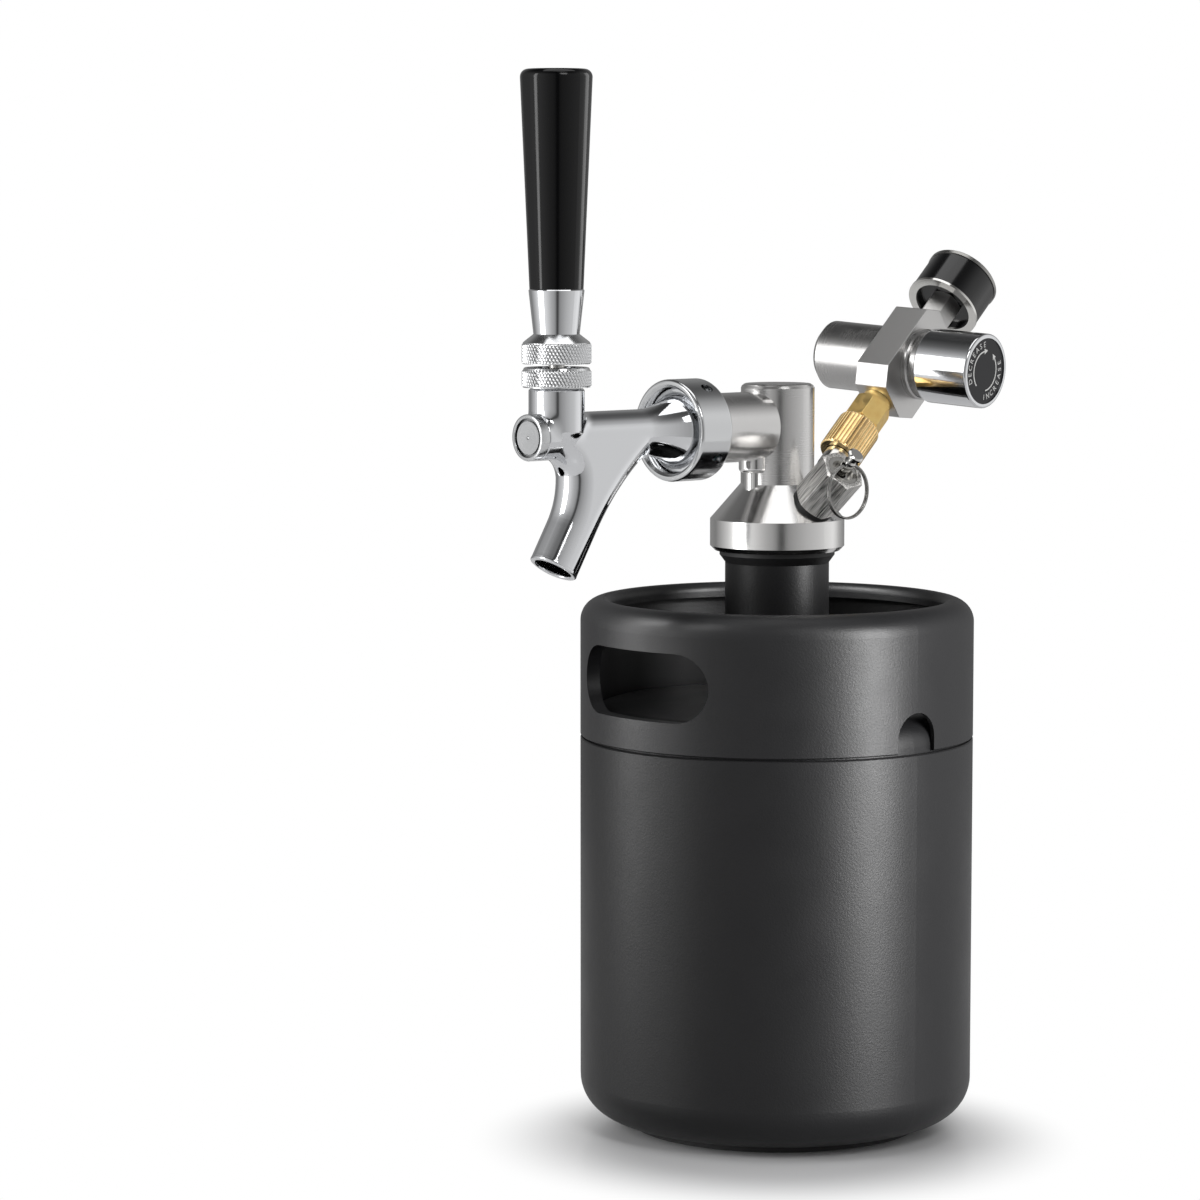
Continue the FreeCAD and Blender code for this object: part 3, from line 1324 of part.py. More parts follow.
# Pull pin with its poppet, eye and head, the rubber seat under the poppet, and the spring.
poppet_bottom = "relief_chamber_start + relief_seat_thickness"
poppet_top = f"{poppet_bottom} + relief_poppet_thickness"
eye = f"{relief_end} + relief_eye_distance"
head = f"{relief_end} + relief_head_distance"
pin = turned("relief_pin", [
    ("0", poppet_bottom),
    ("relief_seat_radius", poppet_bottom),
    ("relief_seat_radius", poppet_top),
    ("relief_pin_radius", poppet_top),
    ("relief_pin_radius", f"{eye} - 2.4"),
    ("relief_eye_boss", f"{eye} - 1.7"),
    ("relief_eye_boss", f"{eye} + 1.7"),
    ("relief_pin_radius", f"{eye} + 2.4"),
    ("relief_pin_radius", head),
    ("relief_head_radius", f"{head} + 0.6"),
    ("relief_head_radius", f"{head} + relief_head_length - 0.4"),
    ("relief_head_radius - 0.6", f"{head} + relief_head_length"),
    ("0", f"{head} + relief_head_length"),
], relief_frame)
sideways = FreeCAD.Rotation(FreeCAD.Vector(0, 1, 0), 90)
solid(pin, "SubtractiveCylinder", "eye", ("-relief_eye_boss - 1", 0, eye), sideways,
      Radius="relief_eye_radius", Height="2 * relief_eye_boss + 2")
turned("relief_seat", [
    ("0", "relief_chamber_start"),
    ("relief_seat_radius", "relief_chamber_start"),
    ("relief_seat_radius", poppet_bottom),
    ("0", poppet_bottom),
], relief_frame)
coil("relief_spring", "relief_spring_radius", "relief_spring_wire", "relief_spring_turns", poppet_top,
     f"{cap_seat} - ({poppet_top})", relief_frame)

# Pull ring hanging from the eye, round the hexagon's lower corner.
eye_place = relief_frame.multVec(up * value(eye))
pull_ring = new_body("pull_ring", frame_at(eye_place - up * value("ring_radius"), across, up))
loop = solid(pull_ring, "AdditiveTorus", "loop", Radius1="ring_radius", Radius2="ring_wire")


# ---------------------------------------------------------------- checks and export

doc.recompute()
helpers = {"skirt_wall", "slot_lip_bar", "slot_bar", "slot_lip_band", "slot_lips", "notch_bar",
           "skirt_with_lips", "skirt_cutters", "arm_blank", "column_envelope", "prop_blank",
           "arm_envelope", "arm_and_column_envelope"}
failed = [item.Label for item in doc.Objects if {"Invalid", "Error"} & set(item.State)]
if failed:
    raise RuntimeError(f"these features did not build: {failed}")

pieces = [item for item in doc.Objects
          if item.TypeId in ("PartDesign::Body", "Part::Cut") and item.Label not in helpers]
for piece in pieces:
    if piece.Shape.isNull() or not piece.Shape.isValid() or len(piece.Shape.Solids) != 1:
        raise RuntimeError(f"{piece.Label} is not one valid solid")

os.makedirs("parts", exist_ok=True)
for piece in pieces:
    piece.Shape.exportStep(os.path.join("parts", f"{piece.Label}.step"))
print(len(pieces), "pieces written")
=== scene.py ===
import math
import bmesh
import bpy
import numpy as np
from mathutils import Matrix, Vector


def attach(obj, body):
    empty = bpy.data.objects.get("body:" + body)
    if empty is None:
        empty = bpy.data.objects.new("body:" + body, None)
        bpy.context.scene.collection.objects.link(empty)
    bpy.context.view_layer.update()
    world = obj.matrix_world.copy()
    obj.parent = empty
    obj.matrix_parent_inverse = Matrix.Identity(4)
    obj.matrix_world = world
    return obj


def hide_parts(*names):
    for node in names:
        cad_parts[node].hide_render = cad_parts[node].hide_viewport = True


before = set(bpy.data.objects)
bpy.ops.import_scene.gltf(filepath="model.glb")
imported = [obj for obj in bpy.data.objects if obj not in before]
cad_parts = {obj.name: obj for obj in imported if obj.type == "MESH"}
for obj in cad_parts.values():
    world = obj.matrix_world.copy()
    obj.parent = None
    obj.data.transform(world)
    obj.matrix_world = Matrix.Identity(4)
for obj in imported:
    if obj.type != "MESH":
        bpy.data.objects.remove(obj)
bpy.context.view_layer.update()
MM = 0.001

# ------------------------------------------------------------------ studio
# The keg stands on a pale table in a studio: a long lens on the tap's right-hand side, soft lamps
# round it, most of them flagged so that each reaches only a few pieces, and walls that run from
# bright to dark, which give polished metal its bands.
CAMERA_PLACE = Vector((1.0071, -0.9725, 0.3180))
CAMERA_TILT, CAMERA_TURN = math.radians(84.37), math.radians(48.47)
CAMERA_SIDE = Vector((CAMERA_PLACE.x, CAMERA_PLACE.y, 0)).normalized()
CAMERA_RIGHT = Vector((math.cos(CAMERA_TURN), math.sin(CAMERA_TURN), 0))
LAMP_AIM = Vector((0, -0.02, 0.19))
TALL_STRIP = (0.34, 1.2)
TABLE_RADIUS, TABLE_DROP = 0.7, 0.0001


def linear(colour):
    """An sRGB hex colour in linear light: c / 12.92 near black, ((c + 0.055) / 1.055) ^ 2.4 above."""
    channels = [int(colour[i:i + 2], 16) / 255 for i in (1, 3, 5)]
    return tuple(c / 12.92 if c <= 0.04045 else ((c + 0.055) / 1.055) ** 2.4 for c in channels) + (1.0,)


def add_node(tree, kind, values=None, links=None, **settings):
    """Adds one node: `values` go in its sockets, `links` join them to outputs, the rest are its settings."""
    node = tree.nodes.new("ShaderNode" + kind)
    for name, setting in settings.items():
        setattr(node, name, setting)
    for socket, setting in (values or {}).items():
        node.inputs[socket].default_value = setting
    for socket, output in (links or {}).items():
        tree.links.new(output, node.inputs[socket])
    return node


camera = bpy.data.objects.new("camera", bpy.data.cameras.new("camera"))
camera.data.sensor_width, camera.data.lens = 36.0, 123.66
camera.data.clip_start, camera.data.clip_end = 0.05, 30
camera.location = CAMERA_PLACE
camera.rotation_euler = (CAMERA_TILT, 0, CAMERA_TURN)
bpy.context.scene.collection.objects.link(camera)
bpy.context.scene.camera = camera
bpy.context.scene.view_settings.view_transform = "Standard"


def lamp(name, turn, height, distance, size, power):
    """A soft rectangular lamp, `turn` degrees round the object from the camera, facing its middle."""
    light = bpy.data.lights.new(name, "AREA")
    light.shape, light.size, light.size_y, light.energy = "RECTANGLE", size[0], size[1], power
    holder = bpy.data.objects.new(name, light)
    bpy.context.scene.collection.objects.link(holder)
    side = math.cos(math.radians(turn)) * CAMERA_SIDE + math.sin(math.radians(turn)) * CAMERA_RIGHT
    holder.location = side * distance + Vector((0, 0, height))
    holder.rotation_euler = (LAMP_AIM - holder.location).to_track_quat("-Z", "Y").to_euler()
    return holder


def light_only(lamps, nodes, state="INCLUDE"):
    """Lets these lamps light only these nodes or, with "EXCLUDE", all but these."""
    lit = bpy.data.collections.new("lit_by_" + lamps[0].name)
    for node in nodes:
        lit.objects.link(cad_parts[node])
    for member in lit.collection_objects:
        member.light_linking.link_state = state
    for light in lamps:
        light.light_linking.receiver_collection = lit


left_strip = lamp("left_strip", turn=-68, height=0.34, distance=1.15, size=(0.50, 1.2), power=6.5)
lamp("front_box", turn=24, height=1.02, distance=1.05, size=(0.42, 0.42), power=3)
lamp("overhead", turn=0, height=1.35, distance=0.02, size=(0.88, 0.88), power=4)
light_only([lamp("keg_strip_right", turn=54, height=0.20, distance=1.15, size=TALL_STRIP, power=72),
            lamp("keg_strip_left", turn=-92, height=0.20, distance=1.15, size=TALL_STRIP, power=14)],
           ["keg_shell", "keg_dome", "top_skirt"])
light_only([lamp("rim_box", turn=-78, height=0.85, distance=0.7, size=(0.4, 0.4), power=20)], ["top_skirt"])
light_only([lamp("neck_strip", turn=62, height=0.20, distance=1.15, size=TALL_STRIP, power=34)], ["keg_neck"])
light_only([lamp("handle_strip", turn=-67, height=0.34, distance=1.15, size=(0.2, 1.2), power=4.6),
            lamp("handle_glow", turn=118, height=0.34, distance=1.15, size=(0.45, 1.2), power=3.5)],
           ["tap_handle"])
light_only([left_strip], ["tap_handle"], "EXCLUDE")
light_only([lamp("valve_box", turn=-20, height=0.15, distance=1.0, size=(0.5, 0.5), power=5)],
           ["swivel_nut", "gas_adapter", "relief_body", "relief_cap"])

# The walls: each stop is a turn in degrees from the camera's side and the brightness there. A
# dark flag stands beside the camera. The ceiling is dimmer, and the camera sees plain white.
world = bpy.data.worlds.new("studio_walls")
bpy.context.scene.world = world
world.use_nodes = True
room = world.node_tree
room.nodes.clear()
looking = add_node(room, "TexCoord").outputs["Generated"]
towards_camera, towards_right = [
    add_node(room, "VectorMath", {1: side}, {0: looking}, operation="DOT_PRODUCT").outputs["Value"]
    for side in (CAMERA_SIDE, CAMERA_RIGHT)]
round_room = add_node(room, "Math", links={0: towards_right, 1: towards_camera}, operation="ARCTAN2")
round_share = add_node(room, "MapRange", {"From Min": -math.pi, "From Max": math.pi},
                       {"Value": round_room.outputs[0]})
walls = add_node(room, "ValToRGB", links={"Fac": round_share.outputs["Result"]})
stops = walls.color_ramp.elements
for turn, level in ((-180, 0.25), (-150, 0.30), (-131, 0.26), (-112, 0.50), (-93, 0.80), (-84, 1.05),
                    (-52, 1.05), (-43, 0.90), (-32, 0.72), (-21, 0.55), (-10, 0.44), (-3, 0.30),
                    (2, 0.09), (8, 0.08), (13, 0.30), (21, 0.40), (50, 0.60), (80, 0.76), (94, 0.95),
                    (112, 1.10), (131, 0.55), (150, 0.32), (180, 0.25)):
    stop = stops[0] if turn == -180 else stops[-1] if turn == 180 else stops.new(turn / 360 + 0.5)
    stop.color = (level, level, level, 1)
height_in_room = add_node(room, "SeparateXYZ", links={"Vector": looking}).outputs["Z"]
ceiling = add_node(room, "MapRange", {"From Min": 0.36, "From Max": 0.86, "To Min": 1.0, "To Max": 0.18},
                   {"Value": height_in_room}, interpolation_type="SMOOTHSTEP").outputs["Result"]
room_level = add_node(room, "VectorMath", links={0: walls.outputs["Color"], "Scale": ceiling},
                      operation="SCALE")
lit_room = add_node(room, "Background", {"Strength": 1.0}, {"Color": room_level.outputs["Vector"]})
seen_room = add_node(room, "Background", {"Color": (1, 1, 1, 1), "Strength": 1.0})
camera_ray = add_node(room, "LightPath").outputs["Is Camera Ray"]
room_mix = add_node(room, "MixShader", links={0: camera_ray, 1: lit_room.outputs[0], 2: seen_room.outputs[0]})
add_node(room, "OutputWorld", links={"Surface": room_mix.outputs[0]})


def cleaned(mesh, doubled):
    """Merges corners closer than `doubled` metres and turns every face outward."""
    work = bmesh.new()
    work.from_mesh(mesh)
    bmesh.ops.remove_doubles(work, verts=work.verts, dist=doubled)
    bmesh.ops.recalc_face_normals(work, faces=work.faces)
    work.to_mesh(mesh)
    work.free()


def surface(name, points, material, body, around=True, along=False, sharp=35.0):
    """A mesh of a grid of points in metres, indexed [round, along, xyz]: a quad between each four
    neighbours, closed round the first index with `around` and round the second with `along`."""
    rounds, steps = points.shape[:2]
    i = np.arange(rounds if around else rounds - 1)[:, None]
    j = np.arange(steps if along else steps - 1)[None, :]
    corners = [((i + di) % rounds) * steps + (j + dj) % steps for di, dj in ((0, 0), (1, 0), (1, 1), (0, 1))]
    quads = np.stack([c + 0 * (i + j) for c in corners], axis=-1).reshape(-1, 4)
    mesh = bpy.data.meshes.new(name)
    mesh.from_pydata(points.reshape(-1, 3).tolist(), [], quads.tolist())
    cleaned(mesh, 1e-7)
    mesh.shade_smooth()
    mesh.set_sharp_from_angle(angle=math.radians(sharp))
    mesh.materials.append(material)
    piece = bpy.data.objects.new(name, mesh)
    bpy.context.scene.collection.objects.link(piece)
    if body:
        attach(piece, body)
    return piece


# The table is white laminate that mirrors the keg's foot, and fades to plain white round it.
# Where it is mirrored in a piece it glows only three tenths as much, so that the foot stays dark.
# It lies a tenth of a millimetre under the foot ring, so that no two faces share a plane.
floor_finish = bpy.data.materials.new("white_laminate_table")
floor_finish.use_nodes = True
table = floor_finish.node_tree
table.nodes.clear()
laminate = add_node(table, "BsdfPrincipled", {"Base Color": linear("#F4F4F5"), "Roughness": 0.2, "IOR": 1.42})
white = add_node(table, "Emission", {"Color": (1, 1, 1, 1), "Strength": 1.0})
spot = add_node(table, "TexCoord").outputs["Object"]
from_keg = add_node(table, "VectorMath", {1: 0.028 * CAMERA_SIDE}, {0: spot}, operation="DISTANCE")
far = add_node(table, "MapRange", {"From Min": 0.05, "From Max": 0.105}, {"Value": from_keg.outputs["Value"]},
               interpolation_type="SMOOTHSTEP")
path = add_node(table, "LightPath").outputs
mirrored = add_node(table, "Math", {1: 0.3}, {0: path["Is Glossy Ray"]}, operation="MULTIPLY")
direct = add_node(table, "Math", links={0: path["Is Camera Ray"], 1: path["Is Transmission Ray"]},
                  operation="MAXIMUM")
seen = add_node(table, "Math", links={0: direct.outputs[0], 1: mirrored.outputs[0]}, operation="MAXIMUM")
fade = add_node(table, "Math", links={0: far.outputs["Result"], 1: seen.outputs[0]}, operation="MULTIPLY")
table_mix = add_node(table, "MixShader",
                     links={0: fade.outputs[0], 1: laminate.outputs[0], 2: white.outputs[0]})
add_node(table, "OutputMaterial", links={"Surface": table_mix.outputs[0]})
rings = np.linspace(0, TABLE_RADIUS, 9)[None, :, None]
angle = np.linspace(0, 2 * np.pi, 96, endpoint=False)[:, None, None]
height = 0 * rings * angle - TABLE_DROP
table_points = np.concatenate([rings * np.cos(angle), rings * np.sin(angle), height], axis=2)
floor = surface("floor", table_points, floor_finish, None)

# ------------------------------------------------------------------ keg
# Deep-drawn stainless steel under a fine-textured matt black powder coat: shell, dome, threaded
# neck and handling skirt with its rolled rim. The textured coat spreads every lamp into a wide
# soft band. Its grit is drawn a few times coarser than the real one, so that it shows.


def finish(name, colour, metallic, roughness, **sockets):
    """A material with a Principled surface: colour in sRGB hex, other sockets by their name in words."""
    made = bpy.data.materials.new(name)
    made.use_nodes = True
    shader = made.node_tree.nodes["Principled BSDF"]
    settings = {"Base Color": linear(colour), "Metallic": metallic, "Roughness": roughness}
    settings.update({socket.replace("_", " "): setting for socket, setting in sockets.items()})
    for socket, setting in settings.items():
        shader.inputs[socket].default_value = setting
    return made, made.node_tree, shader


def object_space(tree, centre=(0, 0, 0), axis=(0, 0, 1)):
    """The place of a surface point in millimetres from `centre`, turned so that `axis` is Z."""
    turned = Vector(axis).rotation_difference(Vector((0, 0, 1)))
    moved = turned.to_matrix() @ Vector(centre) / MM
    place = add_node(tree, "TexCoord").outputs["Object"]
    in_mm = add_node(tree, "VectorMath", {"Scale": 1 / MM}, {0: place}, operation="SCALE").outputs["Vector"]
    return add_node(tree, "Mapping", {"Location": -moved, "Rotation": turned.to_euler()},
                    {"Vector": in_mm}).outputs["Vector"]


def speckle(tree, place, size, detail=2.0, stretch=(1, 1, 1)):
    """Noise whose grains are about `size` millimetres, drawn out by `stretch`."""
    scale = tuple(1 / (size * s) for s in stretch)
    spread = add_node(tree, "VectorMath", {1: scale}, {0: place}, operation="MULTIPLY").outputs["Vector"]
    return add_node(tree, "TexNoise", {"Scale": 1.0, "Detail": detail}, {"Vector": spread}).outputs["Fac"]


def ranged(tree, value, low, high, bottom, top):
    """`value` from bottom..top mapped to low..high."""
    return add_node(tree, "MapRange", {"From Min": bottom, "From Max": top, "To Min": low, "To Max": high},
                    {"Value": value}).outputs["Result"]


def vary_roughness(tree, shader, value, low, high, bottom, top):
    """Makes the roughness go from low to high as `value` goes from bottom to top."""
    tree.links.new(ranged(tree, value, low, high, bottom, top), shader.inputs["Roughness"])


def raise_surface(tree, shader, height, millimetres, under=None):
    """Tilts the surface's normal as if `height`, 0 to 1, stood up by `millimetres` on the normal `under`."""
    bump = add_node(tree, "Bump", {"Strength": 1.0, "Distance": millimetres * MM}, {"Height": height})
    if under:
        tree.links.new(under, bump.inputs["Normal"])
    tree.links.new(bump.outputs["Normal"], shader.inputs["Normal"])


def coat(node, material):
    """Gives a CAD node its finish."""
    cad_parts[node].data.materials.clear()
    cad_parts[node].data.materials.append(material)


powder, tree, shader = finish("textured_black_powder_coat", "#0C0C0D", 0.0, 0.42, IOR=1.3)
place = object_space(tree)
grit = speckle(tree, place, 0.7, detail=3.0)
mottle = speckle(tree, place, 14.0)
vary_roughness(tree, shader, mottle, 0.40, 0.44, 0.3, 0.7)
raise_surface(tree, shader, grit, 0.05)
for node in ("keg_shell", "keg_dome", "keg_neck", "top_skirt"):
    coat(node, powder)


def bead(name, path, radii, material, body, sides=12, closed=False, flat_axis=(0, 0, 1)):
    """A round bar along a path of points in millimetres: at each point a circle of its own radius,
    square to the path, with its first corner turned towards `flat_axis`."""
    path = np.asarray(path, float)
    along = (np.roll(path, -1, 0) - np.roll(path, 1, 0)) if closed else np.gradient(path, axis=0)
    along /= np.linalg.norm(along, axis=1, keepdims=True)
    side = np.cross(along, np.asarray(flat_axis, float))
    side /= np.linalg.norm(side, axis=1, keepdims=True)
    over = np.cross(side, along)
    angle = np.linspace(0, 2 * np.pi, sides, endpoint=False)[:, None, None]
    radii = np.broadcast_to(np.asarray(radii, float).reshape(-1, 1), (len(path), 1))[None]
    points = path[None] + radii * (np.cos(angle) * over[None] + np.sin(angle) * side[None])
    if not closed:
        ends = [np.broadcast_to(path[at], (sides, 1, 3)) for at in (0, -1)]
        points = np.concatenate([ends[0], points, ends[1]], axis=1)
    return surface(name, points * MM, material, body, along=closed, sharp=60)


# The neck is welded to the dome with a rippled bead, below the same powder coat.
WELD_RADIUS, WELD_HEIGHT = 18.1, 149.1
WELD_BEAD, WELD_RIPPLE, WELD_RIPPLES = 1.25, 0.12, 90
angle = np.linspace(0, 2 * np.pi, 360, endpoint=False)
weld = np.stack([WELD_RADIUS * np.cos(angle), WELD_RADIUS * np.sin(angle), WELD_HEIGHT + 0 * angle], axis=1)
weld_radii = WELD_BEAD + WELD_RIPPLE * np.cos(WELD_RIPPLES * angle)
neck_weld = bead("neck_weld", weld, weld_radii, powder, "keg", sides=10, closed=True)


def in_frame(points, origin, axes):
    """Points in millimetres along three axes, moved to the object's frame in metres."""
    return (np.asarray(origin) + points @ axes) * MM


def thread(name, radius, depth, start, length, pitch, material, body, origin=(0, 0, 0), axes=np.eye(3),
           inward=False):
    """A rounded screw ridge: a low bump of `depth` whose foot sinks into the cylinder, carried up
    a helix, swelling from nothing over its first half turn and back to nothing over its last."""
    turns = length / pitch
    angle = np.linspace(0, 2 * np.pi * turns, int(60 * turns) + 1)[:, None]
    swell = np.clip(np.minimum(angle, 2 * np.pi * turns - angle) / np.pi, 0, 1)
    across = np.linspace(-1, 1, 9)[None, :]
    rise = depth * swell * (0.5 + 0.5 * np.cos(np.pi * across)) ** 0.8
    rise[:, [0, -1]] = -0.25
    reach = radius - rise if inward else radius + rise
    height = start + pitch * angle / (2 * np.pi) + across * 0.42 * pitch
    points = np.stack([reach * np.cos(angle), reach * np.sin(angle), height], axis=-1)
    return surface(name, in_frame(points, origin, axes), material, body, around=False, along=True, sharp=60)


# Under the cap the neck carries rolled thread, a little over three turns.
neck_thread = thread("neck_thread", radius=16.38, depth=0.28, start=195.0, length=9.6, pitch=3.0,
                     material=powder, body="keg")


def grained(name, colour, metallic, roughness, size, lift, detail=2.0, stretch=(1, 1, 1), **sockets):
    """A finish whose only relief is an even grain, `size` millimetres across and `lift` high."""
    made, tree, shader = finish(name, colour, metallic, roughness, **sockets)
    raise_surface(tree, shader, speckle(tree, object_space(tree), size, detail, stretch), lift)
    return made


# Foot: a pressed black rubber ring under the rounded base, dull and a little softer in the light.
coat("foot_ring", grained("moulded_black_rubber", "#161617", 0.0, 0.62, size=0.7, lift=0.03, IOR=1.52))

# ------------------------------------------------------------------ cap, column and beer arm
# The gasket is soft black rubber squeezed out a little under the cap. Cap, column and arm are
# turned from stainless bar and lightly brushed on the lathe: fine rings round each axis, bright
# where they face a lamp and grey between, and wider apart than real ones, so that they show.
ARM_HEIGHT = 239.8
PROP_REACH = 10.4
gasket_rubber = grained("black_nitrile_rubber", "#121213", 0.0, 0.55, size=0.8, lift=0.02, IOR=1.52)
coat("cap_gasket", gasket_rubber)


def lathe_lines(tree, place, spacing):
    """Fine turning marks: noise read along the height less 0.7 of the radius, so that rings show
    on cylinders, cones and end faces alike."""
    flat = add_node(tree, "VectorMath", {1: (1, 1, 0)}, {0: place}, operation="MULTIPLY").outputs["Vector"]
    radius = add_node(tree, "VectorMath", links={0: flat}, operation="LENGTH").outputs["Value"]
    height = add_node(tree, "SeparateXYZ", links={"Vector": place}).outputs["Z"]
    step = add_node(tree, "Math", {1: -0.7}, {0: radius, 2: height}, operation="MULTIPLY_ADD").outputs[0]
    scaled = add_node(tree, "Math", {1: 1 / spacing}, {0: step}, operation="MULTIPLY").outputs[0]
    return add_node(tree, "TexNoise", {"Scale": 1.0, "Detail": 4.0, "Roughness": 0.65}, {"W": scaled},
                    noise_dimensions="1D").outputs["Fac"]


def turned_steel(name, colour, roughness, centre, axis, spacing=0.3, depth=0.0025):
    """Turned metal: lathe lines round `axis`, and a slow change of gloss where the tool was dressed."""
    made, tree, shader = finish(name, colour, 1.0, roughness)
    place = object_space(tree, centre, axis)
    lines = lathe_lines(tree, place, spacing)
    raise_surface(tree, shader, lines, depth)
    worn = speckle(tree, place, 9.0)
    gloss = add_node(tree, "Math", links={0: lines, 1: worn}, operation="ADD").outputs[0]
    vary_roughness(tree, shader, gloss, roughness * 0.8, roughness * 1.25, 0.7, 1.3)
    return made


UPRIGHT, ALONG_ARM = (0, 0, 1), (0, 1, 0)
coat("cap_body", turned_steel("turned_stainless_cap", "#D6D5D4", 0.17, (0, 0, 0), UPRIGHT))
column_steel = turned_steel("turned_stainless_column", "#C6C5C4", 0.24, (0, 0, 0), UPRIGHT, depth=0.0012)
for node in ("column", "column_cap"):
    coat(node, column_steel)
arm_centre = (0, 0, ARM_HEIGHT * MM)
coat("beer_arm", turned_steel("turned_stainless_arm", "#CFCECD", 0.22, arm_centre, ALONG_ARM, depth=0.0015))
coat("arm_prop", turned_steel("turned_stainless_post", "#D6D5D4", 0.12, (0, -PROP_REACH * MM, 0), UPRIGHT))

# The dip tube is drawn stainless tube; the flat washers are clear silicone.
coat("dip_tube", grained("drawn_stainless_tube", "#CFCDC9", 1.0, 0.28, size=0.4, lift=0.006,
                         stretch=(1, 1, 30)))
silicone = grained("translucent_silicone", "#D8D9D6", 0.0, 0.45, size=0.9, lift=0.01, IOR=1.41,
                   Subsurface_Weight=0.4, Subsurface_Scale=0.002)
for node in ("cap_washer", "port_washer", "shank_washer", "seat_washer", "friction_washer", "relief_seat",
             "cartridge_seal"):
    coat(node, silicone)

# ------------------------------------------------------------------ tap
# The faucet is cast, ground and chrome plated: mirror bright, with the slightly uneven surface
# that hand polishing leaves. Its front plug and the coupling nut that clamps it to the arm are
# turned, and its bonnet is knurled. Its centre is where the barrel's and the neck's axes meet, and
# the spout's mouth is given from there. FILL is how far a corner of the casting may fill up.
TAP_REACH = 99.3
FAUCET_CENTRE = np.array([0, -TAP_REACH, ARM_HEIGHT])
SPOUT_LEAN = math.radians(31)
SPOUT_MOUTH = np.array([0, -1.5425, -42.92])
CUBE = 0.4
FILL, FILL_PASSES, SMOOTH_PASSES = 2.6, 130, 36
KNURL_COUNT, KNURL_ROWS, KNURL_DEPTH = 60, 48, 0.5


def polished(name, colour, roughness, wave=14.0, depth=0.02):
    """Polished metal: a slow waviness left by the buffing wheel and very fine smears in the gloss."""
    made, tree, shader = finish(name, colour, 1.0, roughness)
    place = object_space(tree)
    raise_surface(tree, shader, speckle(tree, place, wave, detail=1.0), depth)
    smears = speckle(tree, place, 5.0, detail=3.0)
    vary_roughness(tree, shader, smears, roughness * 0.5, roughness * 1.5, 0.3, 0.7)
    return made


def grown_corners(points, edges, quads, free):
    """A casting's inner corners: each free point goes half of the way to the middle of its
    neighbours, along its normal and only outwards, up to FILL from where it was. Then the whole
    is smoothed by steps in and slightly longer steps out, which keep its size."""
    start, count = points.copy(), len(points)
    pairs = np.concatenate([edges, edges[:, ::-1]])
    degree = np.bincount(pairs[:, 0], minlength=count)[:, None]

    def gathered(at, values):
        return np.stack([np.bincount(at, values[:, c], count) for c in range(3)], axis=1)

    for step in range(FILL_PASSES):
        if step % 6 == 0:
            a, b, c, d = (points[quads[:, corner]] for corner in range(4))
            across = np.cross(c - a, d - b)
            normal = sum(gathered(quads[:, corner], across) for corner in range(4))
            normal /= np.linalg.norm(normal, axis=1, keepdims=True) + 1e-12
        middle = gathered(pairs[:, 0], points[pairs[:, 1]]) / degree
        out = ((middle - points) * normal).sum(1, keepdims=True)
        points = np.where(free[:, None], points + 0.5 * normal * np.maximum(out, 0), points)
        # Past 0.6 of FILL the move is eased into its limit.
        gone = points - start
        far = np.linalg.norm(gone, axis=1, keepdims=True) + 1e-12
        eased = FILL * (0.6 + 0.4 * np.tanh((far / FILL - 0.6) / 0.4))
        points = start + gone * np.where(far > 0.6 * FILL, eased / far, 1)
    for step in range(SMOOTH_PASSES):
        middle = gathered(pairs[:, 0], points[pairs[:, 1]]) / degree
        stride = 0.5 if step % 2 == 0 else -0.52
        points = np.where(free[:, None], points + stride * (middle - points), points)
    return points


def corners_of(mesh):
    """The mesh's corner points, in its own units."""
    corner = np.zeros(len(mesh.vertices) * 3)
    mesh.vertices.foreach_get("co", corner)
    return corner.reshape(-1, 3)


def cast_faucet():
    """The faucet's solid in small cubes, with its inner corners filled and its bores left alone."""
    copy = bpy.data.objects.new("casting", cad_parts["faucet_body"].data.copy())
    bpy.context.scene.collection.objects.link(copy)
    cubes = copy.modifiers.new("cubes", "REMESH")
    cubes.mode, cubes.voxel_size = "VOXEL", CUBE * MM
    mesh = bpy.data.meshes.new_from_object(copy.evaluated_get(bpy.context.evaluated_depsgraph_get()))
    bpy.data.objects.remove(copy)
    points = corners_of(mesh) * 1000
    edges, quads = np.zeros(len(mesh.edges) * 2, int), np.zeros(len(mesh.polygons) * 4, int)
    mesh.edges.foreach_get("vertices", edges)
    mesh.polygons.foreach_get("vertices", quads)
    x, y, z = (points - FAUCET_CENTRE).T
    off_spout = (y - SPOUT_MOUTH[1]) * math.cos(SPOUT_LEAN) - (z - SPOUT_MOUTH[2]) * math.sin(SPOUT_LEAN)
    # The bores are the barrel's, the neck's and the spout's; the machined ends are the neck's top, the
    # barrel's front and the bell; the vent is a hole in the web.
    off_bores = (np.hypot(x, z) > 6.95) & (np.hypot(x, y) > 7.4) & (np.hypot(x, off_spout) > 6.95)
    off_machined_ends = (z < 13.6) & (y > -8.6) & (y < 42)
    off_vent = (np.hypot(x, z + 11.5) > 2.3) | (y > 12)
    free = off_bores & off_machined_ends & off_vent
    points = grown_corners(points, edges.reshape(-1, 2), quads.reshape(-1, 4), free)
    mesh.vertices.foreach_set("co", (points * MM).ravel())
    mesh.materials.clear()
    mesh.materials.append(chrome)
    mesh.shade_smooth()
    piece = bpy.data.objects.new("cast_faucet", mesh)
    bpy.context.scene.collection.objects.link(piece)
    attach(piece, "head")
    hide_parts("faucet_body")


chrome = polished("polished_chrome_plate", "#D3D4D6", 0.075)
cast_faucet()


